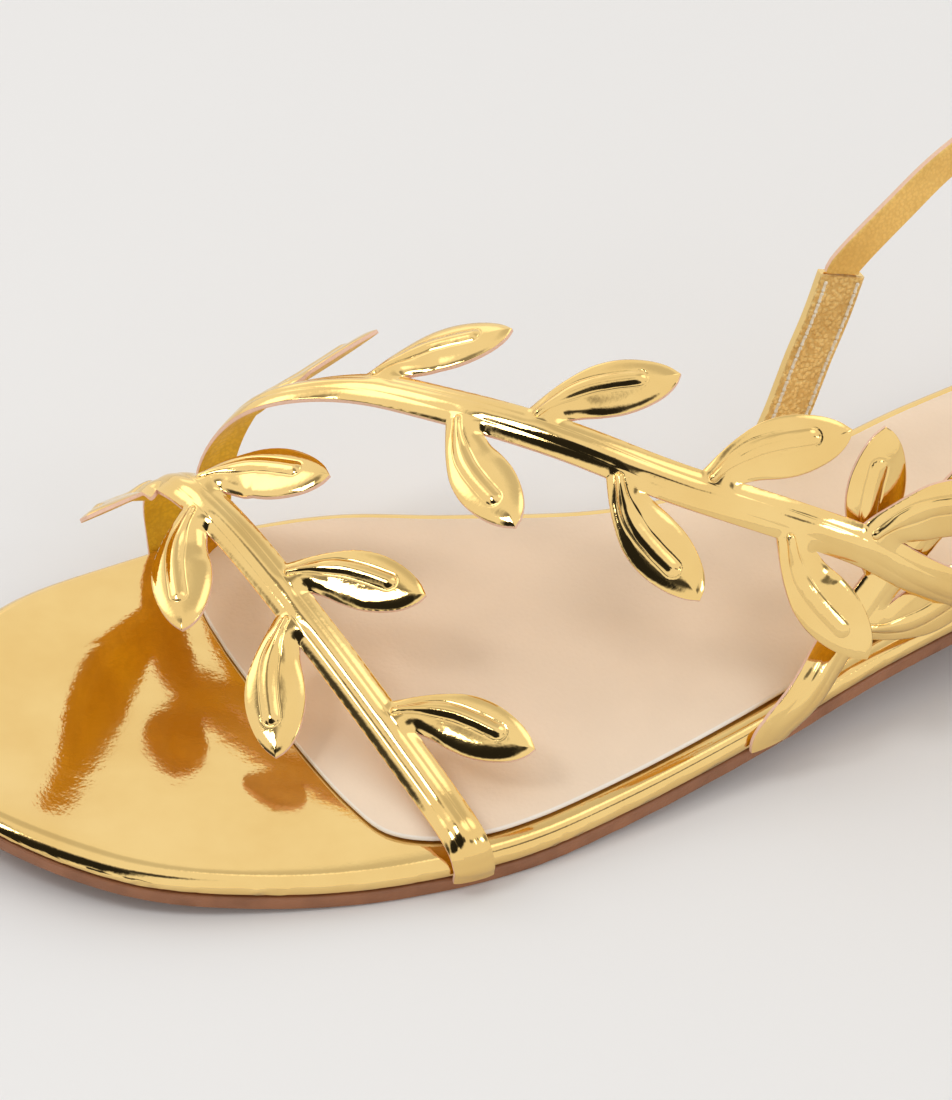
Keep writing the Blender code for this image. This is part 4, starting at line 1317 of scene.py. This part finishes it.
class SANDAL_PG_sole(PropertyGroup):
    """Rounding and padding of the sole."""

    rim_round: length_setting("Rim round", "Radius of the wrapped rim", 0.0019)
    rim_roll: length_setting("Rim roll", "Soft drop of the board near its rim", 0.0004)
    toe_round: length_setting("Toe round", "What the toe adds to the rim's radius", 0.0021)
    dish: length_setting("Dish", "Depth of the board's dish, shaded only", 0.0019)
    sock_crown: length_setting("Sock crown", "Rise of the sock's padding", 0.0014)
    sock_edge: length_setting("Sock edge", "Thickness of the sock at its edge", 0.0006)
    sole_round: length_setting("Sole round", "Radius of the outsole's corners", 0.0005)


class SANDAL_PG_look(PropertyGroup):
    """Colours and gloss of the finishes."""

    foil_colour: colour_setting("Foil", "Mirror gold foil", (0.91, 0.65, 0.262, 1.0))
    ochre_colour: colour_setting("Strap lining", "Ochre lining", (0.93, 0.60, 0.035, 1.0))
    tan_colour: colour_setting("Ankle lining", "Tan gold lining", (1.0, 0.74, 0.31, 1.0))
    ankle_colour: colour_setting("Ankle strap inside", "Its lining", (0.96, 0.65, 0.20, 1.0))
    edge_colour: colour_setting("Cut edge", "Raw edge of the straps", (0.80, 0.47, 0.32, 1.0))
    core_colour: colour_setting("Edge core", "Middle of the raw edge", (0.85, 0.62, 0.48, 1.0))
    sock_colour: colour_setting("Sock", "Beige sock", (0.86, 0.68, 0.505, 1.0))
    skived_colour: colour_setting("Skived edge", "Edge of the sock", (0.88, 0.80, 0.70, 1.0))
    sole_colour: colour_setting("Sole", "Brown outsole", (0.34, 0.135, 0.058, 1.0))
    metal_colour: colour_setting("Metal", "Plated buckle", (0.93, 0.74, 0.42, 1.0))
    thread_colour: colour_setting("Thread", "Pale thread", (0.96, 0.90, 0.76, 1.0))
    foil_roughness: FloatProperty(
        name="Foil roughness", description="Blur of the foil's reflections",
        default=0.045, min=0.0, max=1.0, subtype="FACTOR",
    )


class SANDAL_PG_studio(PropertyGroup):
    """Floor and light of the studio."""

    floor_colour: colour_setting("Floor", "Pale floor", (0.80, 0.79, 0.782, 1.0))
    key_power: FloatProperty(
        name="Key light", description="Power of the large soft light", default=3.0,
        min=0.0, unit="POWER",
    )
    fill_power: FloatProperty(
        name="Fill light", description="Power of the fill light", default=1.2,
        min=0.0, unit="POWER",
    )


# Operators

class SANDAL_OT_materials(Operator):
    """Makes every finish of the sandal"""

    bl_idname = "sandal.make_materials"
    bl_label = "Finishes"

    def execute(self, context):
        make_materials(context.scene.sandal_look)
        return {"FINISHED"}


class SANDAL_OT_sole(Operator):
    """Makes the outsole, heel lift, wrapped board and sock"""

    bl_idname = "sandal.make_sole"
    bl_label = "Sole"

    def execute(self, context):
        sole = context.scene.sandal_sole
        make_outsole(sole)
        make_heel_lift(sole)
        make_board(sole)
        make_sock(sole)
        return {"FINISHED"}


class SANDAL_OT_branches(Operator):
    """Makes the embossed leaf branches"""

    bl_idname = "sandal.make_branches"
    bl_label = "Branches"

    def execute(self, context):
        straps = context.scene.sandal_straps
        finish = [MATERIALS["foil"], MATERIALS["ochre"], MATERIALS["edge"]]
        make_branch(
            "toe_branch", toe_path(), TOE_LEAVES, True, True, straps, finish, "toe_strap"
        )
        make_branch(
            "instep_branch", instep_path(), INSTEP_LEAVES, True, True, straps, finish,
            "instep_straps",
        )
        make_branch(
            "outer_branch", outer_path(BEND_EASE), OUTER_LEAVES, True, False, straps, finish,
            "instep_straps",
        )
        return {"FINISHED"}


class SANDAL_OT_ankle(Operator):
    """Makes the lined tab, the ankle strap and the buckle"""

    bl_idname = "sandal.make_ankle"
    bl_label = "Ankle strap"

    def execute(self, context):
        make_tab(context.scene.sandal_straps)
        make_ankle_strap()
        make_buckle()
        return {"FINISHED"}


class SANDAL_OT_studio(Operator):
    """Makes the floor, the lights and the camera"""

    bl_idname = "sandal.make_studio"
    bl_label = "Studio"

    def execute(self, context):
        make_studio(context.scene.sandal_studio)
        return {"FINISHED"}


# Pieces

def make_outsole(sole):
    """Outsole with rounded corners, bent by the sole's rise."""
    outer, inner = sole_halves(0.0002)
    radius = sole.sole_round

    def top(x, edge):
        return sole_rise(x) + OUTSOLE_THICK - quarter(edge, radius)

    def bottom(x, edge):
        return sole_rise(x) + quarter(edge, radius)

    steps = round_steps(radius, 0.012)
    made = make_slab("brown_outsole", outer, inner, steps, top, bottom, [MATERIALS["sole"]])
    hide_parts("outsole")


def make_heel_lift(sole):
    """Heel lift under the seat with a straight breast."""
    outer, inner = sole_halves(0.0006)
    breast = along_to_x(0.0) - SEAT_LENGTH
    halves = []
    for half in (outer, inner):
        kept = half[half[:, 0] > breast]
        y = np.interp(-breast, -half[:, 0], half[:, 1])
        halves.append(np.vstack([kept, [breast, y]]))
    radius = sole.sole_round

    def top(x, edge):
        return HEEL_RISE - JOIN_GAP - quarter(edge, radius)

    def bottom(x, edge):
        return quarter(edge, radius)

    steps = round_steps(radius, 0.012)
    made = make_slab(
        "brown_heel_lift", *halves, steps, top, bottom, [MATERIALS["sole"]], 120, False
    )
    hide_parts("heel_lift")


def make_board(sole):
    """Board wrapped in foil: a quarter round above and below makes its rim a bead. Round
    the toe its radius is larger, and the outline cuts the round before it is upright."""
    outer, inner = sole_halves()
    radius = sole.rim_round

    def top(x, edge):
        toe = smooth((-x - TOE_RIM_START) / TOE_RIM_RAMP)
        roll = sole.rim_roll * np.exp(-(edge / (ROLL_REACH + TOE_ROLL_REACH * toe)) ** 2)
        drop = quarter(edge + TOE_RIM_CUT * toe, radius + sole.toe_round * toe)
        return sole_rise(x) + BOARD_TOP - drop - roll

    def bottom(x, edge):
        return sole_rise(x) + BOARD_BOTTOM + quarter(edge, RIM_UNDERSIDE)

    steps = round_steps(radius + sole.toe_round, 0.010)
    made = make_slab(
        "gold_board", outer, inner, steps, top, bottom, [MATERIALS["board"]], dish=sole.dish
    )
    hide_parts("footbed_board")


def sock_halves():
    """Outer and inner halves of the sock, heel to its front edge."""
    outer, inner = sole_halves(SOCK_MARGIN)
    front = []
    for along, across in SOCK_FRONT:
        x = along_to_x(along)
        low = rim(x, -1)[0]
        high = rim(x, 1)[0]
        front.append((x, (low + high) / 2 + across * (high - low) / 2))
    front = np.array(front)
    outer = outer[outer[:, 0] > along_to_x(SOCK_OUTER_END)][::10]
    inner = inner[inner[:, 0] > along_to_x(SOCK_INNER_END)][::10]
    outer = spline(np.vstack([outer, front[:SOCK_FRONT_POLE + 1]]), 8)
    inner = spline(np.vstack([inner, front[:SOCK_FRONT_POLE - 1:-1]]), 8)
    return outer, inner


def make_sock(sole):
    """Padded sock: thin skived edge, and a crown that rises from it as one less an
    exponential of the distance."""
    outer, inner = sock_halves()
    crown = sole.sock_crown
    thin = sole.sock_edge

    def top(x, edge):
        rise = 1 - np.exp(-edge / CROWN_REACH)
        roll = quarter(edge, SOCK_ROUND)
        return sole_rise(x) + BOARD_TOP + JOIN_GAP + thin + crown * rise - roll

    def bottom(x, edge):
        return sole_rise(x) + BOARD_TOP + JOIN_GAP + 0.0 * edge

    steps = round_steps(SOCK_ROUND, 0.012)
    made = make_slab("padded_sock", outer, inner, steps, top, bottom, [MATERIALS["sock"]])
    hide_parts("footbed_sock")


def stitches(path, start, end, across, level, pitch, radius):
    """Row of stitches along a path: short round bars that dip at both ends."""
    points = []
    faces = []
    centres = np.arange(start + pitch / 2, end, pitch)
    base = 0
    for centre in centres:
        u = np.linspace(-STITCH_HALF, STITCH_HALF, 7) * pitch
        dip = level + radius * (0.55 - 3.2 * (np.abs(u) / (0.5 * pitch)) ** 4)
        line = path.lay(centre + u, np.full(7, across), centre + u, dip)
        ring, ring_faces = tube(line, radius, 8)
        points.append(ring)
        faces.append(ring_faces + base)
        base += len(ring)
    return np.vstack(points), np.vstack(faces)


def make_tab(straps):
    """Lined tab at the inner side, its inner face with two rows of stitches."""
    path = tab_path()
    section = band_section(TAB_WIDTH, TAB_THICK, 0.0005)

    def pick(places):
        face = np.where(places[:, 1] < 0.3 * TAB_THICK, 0, 2)
        return np.where(places[:, 1] > 0.7 * TAB_THICK, 1, face)

    finish = [MATERIALS["tan"], MATERIALS["foil"], MATERIALS["edge"]]
    made = make_band("lined_tab", path, section, finish, path.end_skew(0), 0.0, pick)
    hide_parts("medial_tab")
    rows = []
    for across in (-1, 1):
        rows.append(stitches(
            path, STITCH_START, path.length - STITCH_END,
            across * (TAB_WIDTH / 2 - STITCH_INSET), 0.0,
            straps.stitch_pitch, straps.thread_radius,
        ))
    base = len(rows[0][0])
    points = np.vstack([rows[0][0], rows[1][0]])
    faces = np.vstack([rows[0][1], rows[1][1] + base])
    made = make_piece("tab_stitches", points, faces, [MATERIALS["thread"]])


def make_ankle_strap():
    """Narrow ankle strap with a rounded tip and the prong's hole."""
    path = ankle_path()
    section = band_section(ANKLE_WIDTH, ANKLE_THICK, 0.00045)

    def pick(places):
        face = np.where(places[:, 1] < 0.25 * ANKLE_THICK, 0, 2)
        return np.where(places[:, 1] > 0.75 * ANKLE_THICK, 1, face)

    finish = [MATERIALS["ankle"], MATERIALS["foil"], MATERIALS["edge"]]
    made = make_band("ankle_band", path, section, finish, 0.0, 0.0026, pick)
    punch_hole(made)
    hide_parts("ankle_strap")


def punch_hole(made):
    """Round hole where the prong passes, cut by a closed tube and made part of the mesh."""
    branch = outer_path()
    forward = BUCKLE_BAR[0] + 0.2 * HOLE_WIDTH
    low = branch.past_end(forward, BUCKLE_BAR[1] - HOLE_REACH)
    high = branch.past_end(forward, BUCKLE_BAR[1] + HOLE_REACH)
    line = low + np.linspace(0.0, 1.0, 9)[:, None] * (high - low)
    points, faces = tube(line, HOLE_WIDTH / 2, 24)
    mesh = bpy.data.meshes.new("hole_punch")
    mesh.from_pydata(points.tolist(), [], faces.tolist())
    cutter = bpy.data.objects.new("hole_punch", mesh)
    bpy.context.scene.collection.objects.link(cutter)
    cut = made.modifiers.new("Prong hole", "BOOLEAN")
    cut.object = cutter
    cut.solver = "EXACT"
    depsgraph = bpy.context.evaluated_depsgraph_get()
    finished = bpy.data.meshes.new_from_object(made.evaluated_get(depsgraph))
    made.modifiers.clear()
    made.data = finished
    bpy.data.objects.remove(cutter)


def buckle_level(forward):
    """Level of the buckle's tilted plane at a place past the outer branch's end."""
    share = (forward - BUCKLE_BAR[0]) / (BUCKLE_FAR[0] - BUCKLE_BAR[0])
    return BUCKLE_BAR[1] + share * (BUCKLE_FAR[1] - BUCKLE_BAR[1])


def make_buckle():
    """Round wire frame with rounded corners, and its prong from above the bar."""
    branch = outer_path()
    half_wide = STEM_WIDTH / 2 + BUCKLE_WIRE / 2 + BUCKLE_SIDE_PLAY
    half_long = (BUCKLE_FAR[0] - BUCKLE_BAR[0]) / 2
    middle = (BUCKLE_FAR[0] + BUCKLE_BAR[0]) / 2
    points = []
    for sign_u, sign_v, first in ((1, 1, 0), (-1, 1, 90), (-1, -1, 180), (1, -1, 270)):
        for turn in np.radians(first + np.linspace(0, 90, 13)):
            u = middle + sign_u * (half_long - BUCKLE_CORNER) + BUCKLE_CORNER * math.cos(turn)
            v = sign_v * (half_wide - BUCKLE_CORNER) + BUCKLE_CORNER * math.sin(turn)
            points.append(branch.past_end(u, buckle_level(u), v))
    frame_points, faces = tube(points, BUCKLE_WIRE / 2, 20, True)
    made = make_piece("frame_wire", frame_points, faces, [MATERIALS["metal"]])
    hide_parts("buckle_frame")
    top = BUCKLE_FAR[1] + BUCKLE_WIRE / 2 + PRONG_WIRE / 2 + JOIN_GAP
    bends = (
        (BUCKLE_BAR[0], BUCKLE_BAR[1] + BUCKLE_WIRE / 2 + JOIN_GAP),
        *((BUCKLE_BAR[0] + forward, top - below) for forward, below in PRONG_BEND),
        ((BUCKLE_BAR[0] + BUCKLE_FAR[0]) / 2, top),
        (BUCKLE_FAR[0] + BUCKLE_WIRE / 2, top),
    )
    line = spline([branch.past_end(*bend) for bend in bends], 8)
    prong, faces = tube(line, PRONG_WIRE / 2, 16)
    made = make_piece("prong_wire", prong, faces, [MATERIALS["metal"]])
    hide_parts("buckle_prong")


# Studio

def studio_world():
    """Pale surroundings with soft round patches, which the mirror gold reflects."""
    world = bpy.data.worlds.new("Pale studio")
    bpy.context.scene.world = world
    world.use_nodes = True
    shader = Shader(world.node_tree)
    light = world.node_tree.nodes["Background"]
    place = shader.node("ShaderNodeTexCoord")
    way = shader.node("ShaderNodeVectorMath", operation="NORMALIZE")
    shader.link(place.outputs["Generated"], way.inputs[0])
    colour = SURROUND
    for azimuth, elevation, radius, soft, bright in PATCHES:
        turn, lift = math.radians(azimuth), math.radians(elevation)
        dot = shader.node("ShaderNodeVectorMath", operation="DOT_PRODUCT")
        shader.link(way.outputs[0], dot.inputs[0])
        dot.inputs[1].default_value = (
            math.sin(turn) * math.cos(lift), -math.cos(turn) * math.cos(lift), math.sin(lift)
        )
        low = math.cos(math.radians(radius + soft))
        high = math.cos(math.radians(max(radius - soft, 0.0)))
        mask = shader.ramp(dot.outputs["Value"], low, high)
        colour = shader.mix(mask, colour, (*(bright * tint for tint in PATCH_TINT), 1.0))
    shader.link(colour, light.inputs["Color"])
    light.inputs["Strength"].default_value = 1.0


def area_light(name, place, aim, size, power):
    """Rectangular soft light that looks at a point."""
    data = bpy.data.lights.new(name, "AREA")
    data.shape = "RECTANGLE"
    data.size, data.size_y = size
    data.energy = power
    made = bpy.data.objects.new(name, data)
    made.location = place
    made.rotation_euler = (Vector(aim) - Vector(place)).to_track_quat("-Z", "Y").to_euler()
    bpy.context.scene.collection.objects.link(made)


def make_floor(studio):
    """Large level floor."""
    material, shader, surface = new_material("pale_floor", 0.0, roughness=0.85)
    surface.inputs["Specular IOR Level"].default_value = 0.12
    shade = [0.985 * c for c in studio.floor_colour[:3]] + [1.0]
    tone = shader.mix(shader.noise(3.0, 2.0), studio.floor_colour, shade)
    shader.link(tone, surface.inputs["Base Color"])
    x, y = np.meshgrid(np.linspace(-4.0, 4.0, 33), np.linspace(-4.0, 4.0, 33), indexing="ij")
    points = np.stack([x.ravel(), y.ravel(), np.zeros(x.size)], axis=-1)
    mesh = bpy.data.meshes.new("floor")
    mesh.from_pydata(points.tolist(), [], grid_triangles(33, 33).tolist())
    mesh.materials.append(material)
    made = bpy.data.objects.new("floor", mesh)
    bpy.context.scene.collection.objects.link(made)


def make_camera():
    """Camera at the photograph's angle."""
    turn = math.radians(CAMERA_AZIMUTH)
    lift = math.radians(CAMERA_ELEVATION)
    back = Vector((
        math.sin(turn) * math.cos(lift), -math.cos(turn) * math.cos(lift), math.sin(lift)
    ))
    data = bpy.data.cameras.new("Camera")
    data.lens = CAMERA_LENS
    data.sensor_width = CAMERA_SENSOR
    data.clip_end = 50.0
    made = bpy.data.objects.new("Camera", data)
    made.location = CAMERA_PLACE
    made.rotation_euler = (-back).to_track_quat("-Z", "Y").to_euler()
    bpy.context.scene.collection.objects.link(made)
    bpy.context.scene.camera = made


def make_studio(studio):
    """Floor, world, lights and camera."""
    studio_world()
    make_floor(studio)
    middle = (0.02, 0.0, 0.03)
    area_light("Key", (-0.75, 0.05, 1.15), middle, (0.35, 0.35), studio.key_power)
    area_light("Fill", (0.9, -0.75, 0.9), middle, (0.3, 0.3), studio.fill_power)
    make_camera()
    bpy.context.scene.view_settings.view_transform = "Standard"


SETTINGS = (
    ("sandal_straps", SANDAL_PG_straps, "Straps"),
    ("sandal_sole", SANDAL_PG_sole, "Sole"),
    ("sandal_look", SANDAL_PG_look, "Finishes"),
    ("sandal_studio", SANDAL_PG_studio, "Studio"),
)
STEPS = (
    SANDAL_OT_materials,
    SANDAL_OT_sole,
    SANDAL_OT_branches,
    SANDAL_OT_ankle,
    SANDAL_OT_studio,
)


class SANDAL_PT_panel(Panel):
    """Sidebar panel with the settings and the steps"""

    bl_idname = "SANDAL_PT_panel"
    bl_label = "Sandal"
    bl_space_type = "VIEW_3D"
    bl_region_type = "UI"
    bl_category = "Sandal"

    def draw(self, context):
        for name, group, title in SETTINGS:
            box = self.layout.box()
            box.label(text=title)
            for field in group.__annotations__:
                box.prop(getattr(context.scene, name), field)
        for step in STEPS:
            self.layout.operator(step.bl_idname)


def register():
    """Registers the settings, operators and panel."""
    for name, group, _ in SETTINGS:
        bpy.utils.register_class(group)
        setattr(bpy.types.Scene, name, PointerProperty(type=group))
    for item in (*STEPS, SANDAL_PT_panel):
        bpy.utils.register_class(item)


def unregister():
    """Removes what register adds."""
    for item in (SANDAL_PT_panel, *reversed(STEPS)):
        bpy.utils.unregister_class(item)
    for name, group, _ in reversed(SETTINGS):
        delattr(bpy.types.Scene, name)
        bpy.utils.unregister_class(group)


def main():
    """Makes the whole scene."""
    register()
    bpy.ops.sandal.make_materials()
    bpy.ops.sandal.make_sole()
    bpy.ops.sandal.make_branches()
    bpy.ops.sandal.make_ankle()
    bpy.ops.sandal.make_studio()


if __name__ == "__main__":
    main()
